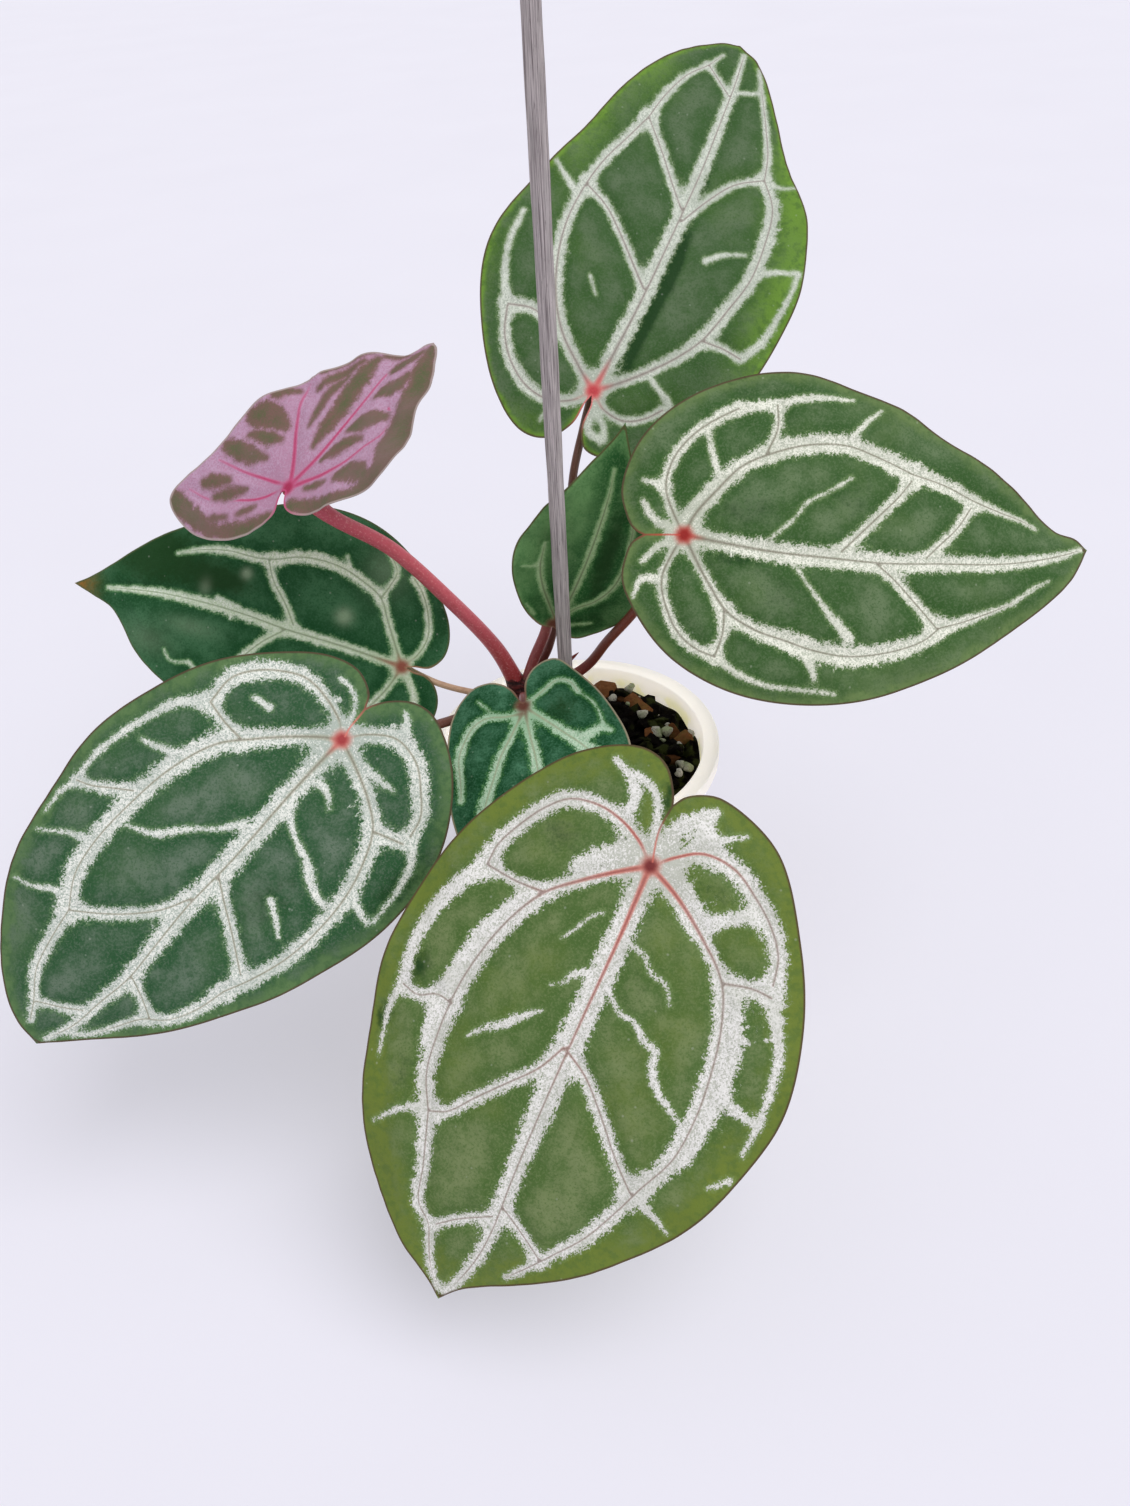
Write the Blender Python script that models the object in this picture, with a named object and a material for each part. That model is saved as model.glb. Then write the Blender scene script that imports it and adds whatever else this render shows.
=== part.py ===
"""Potted anthurium: a young velvet-leaved aroid in a small milky nursery pot.

Eight heart-shaped leaf blades with a raised net of pale veins stand on red-brown
petioles round a short crown. The crown and a weathered wooden stake stand in a
chunky bark mix that fills a thin plastic pot with a flanged rim.

Origin: centre of the pot's base, +Z up. The fullest leaf hangs towards -Y.
Lengths below are in millimetres and angles in degrees unless they say otherwise.
"""
from math import cos, radians, sin, tau

import bpy
import numpy as np
from mathutils import Vector
from mathutils.geometry import delaunay_2d_cdt

MM = 0.001
FIT_GAP = 0.3               # between pieces that touch in the real plant

# Pot
POT_HEIGHT = 88.0
RIM_RADIUS = 50.0
RIM_THICKNESS = 1.5
LIP_DROP = 5.0              # turned-down edge of the rim
LIP_THICKNESS = 1.2
POT_TOP_RADIUS = 45.8       # outside of the wall just under the rim
POT_BASE_RADIUS = 36.0
POT_WALL = 1.2
POT_FLOOR = 1.5
POT_SIDES = 56
DRAIN_HOLES = 8
DRAIN_RADIUS = 3.0
DRAIN_CIRCLE = 24.0

# Bark mix
SOIL_LEVEL = 80.0           # lowest points of the lumpy surface
CHIP_SIZE = 8.5             # mean distance between bark chips
CHIP_HEIGHT = 4.5           # how far chips stand above the lowest points
CHIP_CRACK = 2.5            # how wide the dip between two chips is
SOIL_GRID = 3.4

# Stake: from its foot in the mix to its plain cut top
STAKE_FOOT = (-3.4, 17.7, 14.0)
STAKE_TOP = (3.2, -13.1, 318.0)
STAKE_RADIUS = 2.4
STAKE_SIDES = 10

# Crown
CROWN_CENTRE = (-17.0, 22.0, 92.0)
CROWN_RADIUS = 5.2
CROWN_DEPTH = 24.0          # how far its stock reaches down from its centre
STUB_LENGTH = 13.0          # from the centre to where a petiole starts
STUB_SWELL = (1.7, 1.45, 1.12)      # a stub's radius over its petiole's, outwards
PETIOLE_SIDES = 8
PETIOLE_STEP = 8.5

# Blades
BLADE_THICKNESS = 0.9
MARGIN_STEP = 6.0           # spacing of points along the margin and the veins
VEIN_STEP = 7.0
INNER_STEP = 9.0
RIB_WIDTH = 2.0             # how fast a rib's depth fades to its sides
RIB_DEPTH = 0.9             # of the midrib under the blade, at its foot
SEAT_RADIUS = 9.0           # smooth patch of the blade round its petiole
PUFF_FADE = 4.0             # how far from a vein the fields reach their height
MARGIN_FADE = 7.0           # width of the waved band inside the margin
WAVE_COUNT = 9

COLOURS = {                 # linear colour and roughness of each finish
    "pot": ((0.80, 0.80, 0.76), 0.45),
    "soil": ((0.035, 0.024, 0.018), 0.95),
    "stake": ((0.27, 0.24, 0.25), 0.85),
    "crown": ((0.10, 0.015, 0.018), 0.55),
    "petiole_red": ((0.30, 0.035, 0.05), 0.5),
    "petiole_brown": ((0.16, 0.05, 0.025), 0.5),
    "blade_green": ((0.030, 0.095, 0.030), 0.6),
    "blade_deep": ((0.012, 0.060, 0.022), 0.6),
    "blade_olive": ((0.070, 0.130, 0.022), 0.6),
    "blade_pink": ((0.33, 0.13, 0.24), 0.5),
}

# Each leaf: where the petiole meets the blade, the way its midrib points
# (heading from +X, lift above level), the roll about the midrib, the length
# from there to the tip, the arch along the midrib, the rise of the sides at
# half the width, half the width, and how far the net's fields puff up.
# "right" and "left" are the margins from the notch to the tip as seen from
# above with the tip away, and "veins" are the ribs and the main net.
# "route" are the petiole's points between the crown and the blade.
LEAVES = {
    "front": dict(
        attach=(16, -97, 122), heading=-136, lift=-45, roll=-20.5, length=132.5,
        arch=8, sides=-5, half_width=58, puff=1.1, finish="blade_olive",
        right=[(0.6, -4), (2.6, -12), (4.5, -19.5), (10, -26), (18, -27), (33, -18),
               (46, 2), (54, 26), (55, 55), (48, 80), (36, 105), (18, 121.5),
               (6, 128)],
        left=[(-0.9, -4), (0.4, -11), (0.4, -18), (-3.5, -22.5), (-11, -24), (-28, -18),
              (-44, 1), (-54, 20), (-59, 42), (-56, 62), (-48, 83), (-35, 100),
              (-18, 116), (-5, 126)],
        veins=[[(0, 0), (-1.5, 20), (-2.5, 45), (-3.5, 70), (-5, 95), (-5, 112), (-2, 127)],
               [(0, 0), (15, 12), (27, 29), (31.5, 52), (29, 77), (23, 86)],
               [(23, 86), (18, 103), (10, 114), (3, 127)],
               [(0, 0), (-20, 10), (-31, 18), (-38, 40), (-39, 62), (-33, 78)],
               [(-33, 78), (-27, 95), (-19, 108), (-9, 121)],
               [(-1.5, 53), (7, 67), (23, 86)],
               [(-2.5, 52), (-16, 61), (-33, 78)],
               [(-5, 98), (-19, 105)],
               [(-4, 103), (10, 113)],
               [(0, 0), (13, -7.5), (27, -6.5), (37, 6), (40, 20), (48, 40), (46, 60)],
               [(31, 56), (46, 60)],
               [(22, 19.5), (40, 20)],
               [(0, 0), (-11, -9), (-27, -6), (-40, 6), (-44, 18), (-53, 36), (-54, 52)],
               [(-31, 18), (-43, 16)],
               [(13, -7.5), (20, -19)],
               [(-11, -9), (-12, -19)]],
        petiole_radius=1.9, petiole="petiole_red",
        route=[(-1, -15, 93), (10, -42, 97.5), (19, -70, 105)]),
    "left": dict(
        attach=(-68, -49, 136), heading=-154, lift=-31, roll=-46, length=127.5,
        arch=7, sides=-4, half_width=51, puff=1.1, finish="blade_green",
        right=[(0.8, -4), (2.6, -10), (6, -15.5), (12, -17), (20, -14.5), (30, -6),
               (42, 10), (50, 33), (51.5, 48), (48, 72), (39, 98), (26, 115),
               (10, 125.5)],
        left=[(-0.6, -4), (0.3, -11), (-2, -18), (-7, -22), (-14, -23), (-30, -15),
              (-44, 4), (-48, 28), (-43, 56), (-33, 81), (-21, 101), (-9, 116.5)],
        veins=[[(0, 0), (-1.5, 22), (-3, 45), (-4.5, 75), (-6, 93), (-4, 112), (-1, 123)],
               [(0, 0), (12, 11), (24, 26), (29, 50), (27, 78), (20, 90)],
               [(20, 90), (16, 108), (5, 123)],
               [(0, 0), (-18, 7), (-27, 14), (-33, 30), (-34.5, 48), (-29, 71)],
               [(-29, 71), (-25, 87), (-17, 98), (-6, 117)],
               [(-3, 62), (7, 78), (20, 90)],
               [(-3.5, 51), (-18, 61), (-29, 71)],
               [(-6, 91), (-17, 97)],
               [(-4, 109), (9, 118)],
               [(0, 0), (11, -5), (26, -2), (34, 9), (34, 19), (44, 36), (45, 61)],
               [(30, 51), (45, 61)],
               [(20, 20), (34, 19)],
               [(0, 0), (-8, -9.5), (-20, -10), (-32, 0), (-35, 8), (-42, 17), (-44, 30)],
               [(-28, 12), (-36, 9)],
               [(-34, 31), (-44, 30)]],
        petiole_radius=1.7, petiole="petiole_brown",
        route=[(-31, 6, 101), (-42, -7, 107), (-57, -29, 120)]),
    "right": dict(
        attach=(36, -17, 175), heading=-1, lift=-7.5, roll=52, length=121,
        arch=6, sides=-4, half_width=50, puff=1.1, finish="blade_green",
        right=[(0.8, -4), (1.2, -10), (5, -16), (13, -17.5), (23, -13), (36, -2),
               (45, 14), (48.5, 36), (46, 57), (37, 79), (25, 98), (10, 115)],
        left=[(-0.8, -4), (-1.6, -10), (-6, -16.5), (-14, -18), (-28, -13), (-40, 0),
              (-47, 18), (-47, 36), (-39, 59), (-28, 78), (-16, 97), (-5, 110),
              (-3, 117)],
        veins=[[(0, 0), (3.5, 20), (6, 42), (7, 62), (6, 90), (2.5, 110), (0.5, 118)],
               [(0, 0), (15, 8), (27, 21), (32.5, 40), (32.5, 60), (25, 75)],
               [(25, 75), (21, 90), (11, 107)],
               [(0, 0), (-13, 9), (-22, 20), (-27, 38), (-24, 55), (-17, 66)],
               [(-17, 66), (-13, 82), (-6, 104)],
               [(7, 55), (25, 75)],
               [(5, 30), (20, 40), (31, 49)],
               [(4.5, 44), (-6, 55), (-17, 66)],
               [(5.5, 70), (-12, 84)],
               [(0, 0), (12, -6), (27, -2), (35, 10), (43, 24), (44, 42)],
               [(21, 12), (35, 10)],
               [(32, 34), (42, 39)],
               [(0, 0), (-14, -5.5), (-29, 2), (-38, 16), (-39, 32), (-40, 47)],
               [(-24, 24), (-38, 26)],
               [(-17, 8), (-32, 7)],
               [(13, -6), (16, -13)],
               [(-14, -5.5), (-16, -13)]],
        petiole_radius=1.75, petiole="petiole_brown",
        route=[(6, 19, 106), (14, 12, 121), (23, 3, 138)]),
    "back": dict(
        attach=(15, 40, 197), heading=56, lift=36, roll=29, length=132,
        arch=4, sides=3, half_width=50, puff=1.1, finish="blade_green",
        right=[(0.9, -4), (1.0, -12), (4.5, -18), (11, -18.5), (23, -13), (36, 1),
               (44.5, 18), (48.5, 40), (48.5, 57), (43, 78), (32, 93), (21, 110),
               (8, 127.5)],
        left=[(-0.9, -4), (-2.2, -12), (-8, -19), (-17, -20), (-29, -12), (-40.5, 5),
              (-48, 26), (-45.5, 48), (-38, 70), (-30, 96), (-19, 119), (-7, 130)],
        veins=[[(0, 0), (2, 20), (4, 50), (4.5, 80), (4, 107), (2, 129)],
               [(0, 0), (14, 13), (27, 30), (33, 53), (32, 78), (25, 89)],
               [(25, 89), (19, 107), (8, 127)],
               [(0, 0), (-16, 13), (-27, 33), (-29, 59), (-20, 92)],
               [(-20, 92), (-13, 113), (-4, 127)],
               [(5, 64), (13, 79), (25, 89)],
               [(4, 67), (-20, 92)],
               [(2, 38), (-13, 52), (-29, 61)],
               [(3, 113), (-8, 121)],
               [(4, 115), (13, 118)],
               [(0, 0), (12, -5), (27, -1), (36, 12), (39, 28), (46, 46), (47, 61)],
               [(27, 30), (39, 28)],
               [(34, 56), (47, 61)],
               [(0, 0), (-12, -8), (-26, -4), (-35, 12), (-42, 31), (-42, 45)],
               [(-21, 15), (-35, 13)],
               [(-29, 58), (-40, 63)]],
        petiole_radius=1.45, petiole="petiole_brown",
        route=[(-6, 26, 112), (3, 29, 150), (7, 30, 176)]),
    "lower_left": dict(
        attach=(-57, 13, 117), heading=164.5, lift=12.5, roll=-54, length=119.5,
        arch=8, sides=-4, half_width=45, puff=0.9, finish="blade_deep",
        right=[(0.8, -4), (1.6, -9), (7, -13), (16, -12.5), (28, -5), (42, 13),
               (46.5, 30), (44, 50), (34, 71), (24, 90), (10, 105.5), (4, 113)],
        left=[(-0.8, -4), (-1.4, -9), (-6, -13), (-14, -14), (-28, -7), (-39, 8),
              (-43, 30), (-38, 53), (-28, 73), (-17, 91), (-5, 103), (-2.4, 111)],
        veins=[[(0, 0), (2, 20), (3.5, 42), (5, 66), (3.5, 92), (1.5, 107)],
               [(0, 0), (14, 8), (24, 17), (28.5, 34), (24, 52)],
               [(24, 52), (24, 66), (19, 83)],
               [(0, 0), (-15, 7), (-27, 18), (-31, 35), (-26, 56)],
               [(-26, 56), (-19, 72)],
               [(5, 38), (24, 52)],
               [(3, 41), (-10, 52), (-26, 56)],
               [(0, 0), (12, -6), (28, 1), (38, 14)],
               [(21, 12), (31, 9)],
               [(0, 0), (-12, -7), (-27, -1), (-37, 14)]],
        petiole_radius=1.2, petiole="petiole_brown",
        route=[(-33, 16, 101), (-46, 13.5, 108.5)]),
    "young": dict(
        attach=(-79, 5, 190), heading=28, lift=29.5, roll=12, length=61,
        arch=3, sides=6, half_width=33, puff=0.9, finish="blade_pink",
        right=[(0.8, -2), (3.5, -4.5), (9, -4.5), (16, 0), (26, 9), (33, 19), (32, 29),
               (21, 42), (11, 54), (4, 60)],
        left=[(-1.6, -2), (0, -5), (1.8, -9), (-2, -16), (-11, -25), (-24, -31.5),
              (-35, -29), (-31.5, -10), (-29, 11), (-20, 30), (-13, 45), (-3, 54),
              (-2, 59)],
        veins=[[(0, 0), (2, 12), (1.5, 25), (-2, 42), (-2, 57)],
               [(0, 0), (-12, 14), (-21, 30)],
               [(0, 0), (-10, -3), (-28, -9)],
               [(0, 0), (-9, -9), (-30, -22)],
               [(2, 2), (13, 17), (16, 30), (9, 44), (2, 57)],
               [(1, -1), (12, 5), (25, 14)],
               [(-18, 21), (-26, 15)],
               [(-21, 30), (-9, 46)]],
        petiole_radius=2.6, petiole="petiole_red",
        route=[(-25, 23, 115), (-38, 22, 136), (-54, 19, 159), (-69, 11, 176)]),
    "small_back": dict(
        attach=(-4, 11, 130), heading=7, lift=68, roll=90, length=72,
        arch=3, sides=2, half_width=22, puff=0.7, finish="blade_deep",
        right=[(1, -1.5), (4, -3.5), (10, -3.5), (18, 3), (22, 15), (20, 30), (14, 45),
               (7, 59), (2, 68)],
        left=[(-1, -1.5), (-5, -1), (-14, 7), (-22, 23), (-20, 36), (-13, 48), (-5, 61),
              (-1.5, 68)],
        veins=[[(0.5, 0), (2.5, 22), (2.5, 45), (0.5, 64)],
               [(0.5, 0), (9, 11), (14.5, 24), (12, 42)],
               [(0.5, 0), (-8, 13), (-13, 28), (-9, 45)],
               [(0.5, 0), (10, 2), (17, 12)],
               [(0.5, 0), (-9, 4), (-17, 19)]],
        petiole_radius=2.0, petiole="petiole_red",
        route=[(-11.5, 19, 112), (-7, 17.5, 123)]),
    "small_front": dict(
        attach=(-16, -19, 120), heading=-89, lift=-25, roll=11, length=83,
        arch=3, sides=-3, half_width=31, puff=0.8, finish="blade_deep",
        right=[(0.8, -2), (3, -6.5), (9, -11), (17, -11), (23.5, -3.5), (26, 14),
               (25, 36), (20, 55), (11, 71), (3, 80)],
        left=[(-0.8, -2), (-1, -9), (-5, -15.5), (-11, -17.5), (-19, -9), (-27, 3),
              (-32.5, 19), (-31, 38), (-23, 55), (-12, 70), (-3, 80)],
        veins=[[(0, 0), (-2, 12), (-3.5, 28), (-3, 50), (-1, 75)],
               [(0, 0), (5, 11), (12, 27), (16, 44), (10, 64)],
               [(0, 0), (-9, 9), (-20, 21), (-23, 42), (-12, 64)],
               [(0, 0), (10, 2), (20, 9), (22.5, 26)],
               [(0, 0), (-11, -8), (-19, -2), (-25, 10)],
               [(-17, 16.5), (-26, 13)]],
        petiole_radius=1.5, petiole="petiole_red",
        route=[(-16.5, 6, 105), (-16, -9, 114)]),
}

# Directions in which the crown's stubs leave it, one for each petiole
STUB_AIM = {"front": (8, -16, 1), "left": (-12, -14, 8), "right": (13, -2, 7),
            "back": (9, 5, 16), "lower_left": (-14, -4, 8), "young": (-5, 0, 18),
            "small_back": (4, -4, 18), "small_front": (0.5, -13, 11)}
SHEATH_TIP = (4.0, 22.5, 110.0)     # dry red sheath beside the right petiole


def clear_scene():
    """Remove every object, so that the script can be run again."""
    for item in list(bpy.data.objects):
        bpy.data.objects.remove(item, do_unlink=True)


def finish(name):
    """Principled material of one of the plant's finishes."""
    material = bpy.data.materials.get(name) or bpy.data.materials.new(name)
    material.use_nodes = True
    shader = material.node_tree.nodes["Principled BSDF"]
    colour, roughness = COLOURS[name]
    shader.inputs["Base Color"].default_value = (*colour, 1.0)
    shader.inputs["Roughness"].default_value = roughness
    return material


def add_object(name, points, faces, origin=(0, 0, 0), material=None, smooth=True):
    """Make a mesh object from millimetre points, with its origin at a point of it."""
    origin = np.asarray(origin, float)
    points = np.asarray(points, float) - origin
    mesh = bpy.data.meshes.new(name)
    mesh.from_pydata((points * MM).tolist(), [], [list(map(int, face)) for face in faces])
    mesh.update()
    if smooth:
        mesh.shade_smooth()
        mesh.set_sharp_from_angle(angle=radians(35))
    item = bpy.data.objects.new(name, mesh)
    item.location = Vector(origin * MM)
    bpy.context.scene.collection.objects.link(item)
    if material:
        mesh.materials.append(finish(material))
    return item


def curve_through(points, step):
    """Points every `step` along a chord-length Catmull-Rom curve through `points`."""
    p = np.asarray(points, float)
    if len(p) == 2:
        count = max(1, round(np.linalg.norm(p[1] - p[0]) / step))
        return p[0] + np.linspace(0, 1, count + 1)[:, None] * (p[1] - p[0])
    first = 2 * p[0] - p[1]
    last = 2 * p[-1] - p[-2]
    p = np.vstack([first, p, last])
    knots = np.concatenate([[0], np.cumsum(np.sqrt(np.linalg.norm(np.diff(p, axis=0), axis=1)))])
    fine = []
    for i in range(1, len(p) - 2):
        t = np.linspace(knots[i], knots[i + 1], 13)[:-1, None]
        k0, k1, k2, k3 = knots[i - 1:i + 3]
        a1 = (k1 - t) / (k1 - k0) * p[i - 1] + (t - k0) / (k1 - k0) * p[i]
        a2 = (k2 - t) / (k2 - k1) * p[i] + (t - k1) / (k2 - k1) * p[i + 1]
        a3 = (k3 - t) / (k3 - k2) * p[i + 1] + (t - k2) / (k3 - k2) * p[i + 2]
        b1 = (k2 - t) / (k2 - k0) * a1 + (t - k0) / (k2 - k0) * a2
        b2 = (k3 - t) / (k3 - k1) * a2 + (t - k1) / (k3 - k1) * a3
        fine.append((k2 - t) / (k2 - k1) * b1 + (t - k1) / (k2 - k1) * b2)
    fine = np.vstack(fine + [p[-2:-1]])
    run = np.concatenate([[0], np.cumsum(np.linalg.norm(np.diff(fine, axis=0), axis=1))])
    count = max(1, round(run[-1] / step))
    wanted = np.linspace(0, run[-1], count + 1)
    return np.stack([np.interp(wanted, run, fine[:, k]) for k in range(p.shape[1])], axis=1)


def tube(path, radii, sides, start_aim=None, end_aim=None):
    """Closed tube along `path`, as points and faces, with flat ends.

    Each ring stands square to the path, or to an end's own aim, and is turned
    as little as possible from the one before it.
    """
    path = np.asarray(path, float)
    along = np.gradient(path, axis=0)
    if start_aim is not None:
        along[0] = start_aim
    if end_aim is not None:
        along[-1] = end_aim
    along /= np.linalg.norm(along, axis=1)[:, None]
    side = np.cross(along[0], (0.0, 0.0, 1.0))
    if np.linalg.norm(side) < 0.1:
        side = np.cross(along[0], (0.0, 1.0, 0.0))
    angles = np.arange(sides) * tau / sides
    points = []
    for centre, direction, radius in zip(path, along, radii):
        side = side - (side @ direction) * direction
        side /= np.linalg.norm(side)
        other = np.cross(direction, side)
        ring = np.cos(angles)[:, None] * side + np.sin(angles)[:, None] * other
        points.append(centre + radius * ring)
    rings = len(path)
    faces = []
    for i in range(rings - 1):
        for j in range(sides):
            k = (j + 1) % sides
            faces.append([i * sides + j, i * sides + k, (i + 1) * sides + k, (i + 1) * sides + j])
    faces.append(list(range(sides))[::-1])
    faces.append([(rings - 1) * sides + j for j in range(sides)])
    return np.vstack(points), faces


def boolean(target, tool, operation):
    """Apply one exact Boolean of `tool` to `target` and remove the tool."""
    modifier = target.modifiers.new(operation, "BOOLEAN")
    modifier.operation = operation
    modifier.solver = "EXACT"
    modifier.object = tool
    bpy.context.view_layer.update()
    evaluated = target.evaluated_get(bpy.context.evaluated_depsgraph_get())
    result = bpy.data.meshes.new_from_object(evaluated)
    target.modifiers.clear()
    old = target.data
    target.data = result
    bpy.data.meshes.remove(old)
    bpy.data.objects.remove(tool, do_unlink=True)


def turned(name, profile, sides, material):
    """Solid turned about Z from a closed profile of (radius, height) points.

    A profile that starts and ends on the axis closes there at a single point.
    """
    profile = np.asarray(profile, float)
    on_axis = profile[:, 0] < 1e-6
    angles = np.arange(sides) * tau / sides
    points, rows = [], []
    for (radius, height), centred in zip(profile, on_axis):
        if centred:
            rows.append([len(points)] * sides)
            points.append((0.0, 0.0, height))
        else:
            rows.append(list(range(len(points), len(points) + sides)))
            points += [(radius * cos(a), radius * sin(a), height) for a in angles]
    faces = []
    closed = not on_axis.any()
    count = len(profile) if closed else len(profile) - 1
    for i in range(count):
        low, high = rows[i], rows[(i + 1) % len(profile)]
        for j in range(sides):
            k = (j + 1) % sides
            face = [low[j], low[k], high[k], high[j]]
            face = [v for n, v in enumerate(face) if v != face[n - 1]]
            if len(face) > 2:
                faces.append(face)
    return add_object(name, points, faces, material=material)


def wall_radius(height):
    """Outside radius of the pot's tapered wall at a height."""
    share = height / (POT_HEIGHT - RIM_THICKNESS)
    return POT_BASE_RADIUS + share * (POT_TOP_RADIUS - POT_BASE_RADIUS)


def make_pot():
    """Thin tapered pot with a flat flanged rim, a turned-down lip and drain holes."""
    under_rim = POT_HEIGHT - RIM_THICKNESS
    inner_floor = wall_radius(POT_FLOOR) - POT_WALL
    profile = [
        (0.0, 0.0),
        (POT_BASE_RADIUS - 1.0, 0.0),
        (wall_radius(1.0), 1.0),
        (POT_TOP_RADIUS, under_rim),
        (RIM_RADIUS - LIP_THICKNESS, under_rim),
        (RIM_RADIUS - LIP_THICKNESS, POT_HEIGHT - LIP_DROP),
        (RIM_RADIUS, POT_HEIGHT - LIP_DROP),
        (RIM_RADIUS, POT_HEIGHT - 0.5),
        (RIM_RADIUS - 0.5, POT_HEIGHT),
        (POT_TOP_RADIUS - POT_WALL, POT_HEIGHT),
        (inner_floor, POT_FLOOR),
        (0.0, POT_FLOOR),
    ]
    pot = turned("pot", profile, POT_SIDES, "pot")
    for i in range(DRAIN_HOLES):
        angle = (i + 0.5) * tau / DRAIN_HOLES
        x, y = DRAIN_CIRCLE * cos(angle), DRAIN_CIRCLE * sin(angle)
        path = [(x, y, -2.0), (x, y, POT_FLOOR + 2.0)]
        points, faces = tube(path, [DRAIN_RADIUS] * 2, 10)
        boolean(pot, add_object("drain", points, faces, smooth=False), "DIFFERENCE")
    return pot


def chip_height(x, y, seeds):
    """Height of the chunky mix: each point lies on the tilted top of its nearest chip."""
    place, lift, tilt = seeds
    gap = np.hypot(x[:, None] - place[:, 0], y[:, None] - place[:, 1])
    nearest = gap.argmin(axis=1)
    ordered = np.sort(gap, axis=1)
    crack = np.clip((ordered[:, 1] - ordered[:, 0]) / CHIP_CRACK, 0, 1)
    dx, dy = x - place[nearest, 0], y - place[nearest, 1]
    top = lift[nearest] + tilt[nearest, 0] * dx + tilt[nearest, 1] * dy
    return SOIL_LEVEL + np.clip(top, 0, CHIP_HEIGHT) * (0.35 + 0.65 * crack)


def make_soil():
    """Bark mix filling the pot, with a lumpy top and plain holes for crown and stake."""
    rng = np.random.default_rng(7)
    radius_top = wall_radius(SOIL_LEVEL) - POT_WALL - FIT_GAP
    radius_foot = wall_radius(POT_FLOOR) - POT_WALL - FIT_GAP
    foot = POT_FLOOR + FIT_GAP
    count = round(4 * radius_top ** 2 / CHIP_SIZE ** 2)
    place = rng.uniform(-radius_top, radius_top, (count, 2))
    seeds = (place, rng.uniform(0.5, CHIP_HEIGHT, count), rng.normal(0, 0.18, (count, 2)))

    edge_count = round(tau * radius_top / SOIL_GRID)
    edge_angle = np.arange(edge_count) * tau / edge_count
    rim = radius_top * np.stack([np.cos(edge_angle), np.sin(edge_angle)], axis=1)
    steps = np.arange(-radius_top, radius_top, SOIL_GRID)
    gx, gy = np.meshgrid(steps, steps)
    gx = gx + (np.arange(len(steps)) % 2)[:, None] * SOIL_GRID / 2
    inside = np.hypot(gx, gy) < radius_top - 0.6 * SOIL_GRID
    inner = np.stack([gx[inside], gy[inside]], axis=1)
    inner = inner + rng.uniform(-0.5, 0.5, inner.shape)
    flat = np.vstack([rim, inner])
    ring = list(range(edge_count))
    verts, _, faces, *_ = delaunay_2d_cdt([Vector(p) for p in flat], [], [ring], 1, 1e-5)
    top = np.array([(v.x, v.y) for v in verts])
    height = chip_height(top[:, 0], top[:, 1], seeds)
    height[:edge_count] = SOIL_LEVEL + 0.4 * (height[:edge_count] - SOIL_LEVEL)
    points = np.column_stack([top, height])
    start = len(points)
    scale = radius_foot / radius_top
    points = np.vstack([points, np.column_stack([rim * scale, np.full(edge_count, foot)]),
                        [(0.0, 0.0, foot)]])
    solid = [list(f) for f in faces]
    for i in ring:
        k = (i + 1) % edge_count
        solid.append([i, start + i, start + k, k])
        solid.append([start + k, start + i, start + edge_count])
    soil = add_object("soil", points, solid, origin=(0, 0, foot), material="soil", smooth=False)

    lean = np.subtract(STAKE_TOP, STAKE_FOOT) / np.linalg.norm(np.subtract(STAKE_TOP, STAKE_FOOT))
    base = np.asarray(STAKE_FOOT) - FIT_GAP * lean
    bore = STAKE_RADIUS + FIT_GAP
    points, faces = tube([base, base + lean * 90.0], [bore] * 2, STAKE_SIDES)
    boolean(soil, add_object("stake_hole", points, faces, smooth=False), "DIFFERENCE")
    x, y, z = CROWN_CENTRE
    low = z - CROWN_DEPTH - FIT_GAP
    points, faces = tube([(x, y, low), (x, y, z + 10.0)], [CROWN_RADIUS + FIT_GAP] * 2, 12)
    boolean(soil, add_object("crown_hole", points, faces, smooth=False), "DIFFERENCE")
    return soil


def make_stake():
    """Slim weathered wooden stake with slightly uneven faces and eased ends."""
    foot, top = np.asarray(STAKE_FOOT), np.asarray(STAKE_TOP)
    share = np.array([0.0, 0.004, 0.3, 0.65, 0.996, 1.0])
    path = foot + share[:, None] * (top - foot)
    radii = STAKE_RADIUS * np.array([0.78, 0.97, 0.98, 0.94, 0.92, 0.74])
    points, faces = tube(path, radii, STAKE_SIDES)
    return add_object("stake", points, faces, origin=foot, material="stake")


def crown_stub(name):
    """End point and direction of the crown's stub for one petiole."""
    aim = np.asarray(STUB_AIM[name], float)
    aim /= np.linalg.norm(aim)
    return np.asarray(CROWN_CENTRE) + STUB_LENGTH * aim, aim


def make_crown():
    """Short stock rooted in the mix, fused with a clasping stub for each petiole."""
    x, y, z = CROWN_CENTRE
    heights = np.array([-CROWN_DEPTH, -CROWN_DEPTH + 2, -12.0, -2.0, 2.5, 5.0])
    radii = CROWN_RADIUS * np.array([0.6, 0.8, 0.96, 0.96, 0.8, 0.4])
    path = [(x, y, z + h) for h in heights]
    points, faces = tube(path, radii, 12)
    crown = add_object("crown", points, faces, origin=(x, y, z), material="crown")
    centre = np.asarray(CROWN_CENTRE)
    for name, leaf in LEAVES.items():
        end, aim = crown_stub(name)
        path = [centre, centre + 0.6 * (end - centre), end]
        radii = leaf["petiole_radius"] * np.array(STUB_SWELL)
        points, faces = tube(path, radii, PETIOLE_SIDES)
        boolean(crown, add_object("stub", points, faces, smooth=False), "UNION")
    tip = np.asarray(SHEATH_TIP)
    bend = centre + 0.5 * (tip - centre) + (0, 1.5, -1.0)
    path = curve_through([centre, bend, tip], 6.0)
    radii = np.interp(np.linspace(0, 1, len(path)), [0, 0.6, 1], [1.6, 1.25, 0.35])
    points, faces = tube(path, radii, 6)
    boolean(crown, add_object("sheath", points, faces, smooth=False), "UNION")
    return crown


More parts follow.
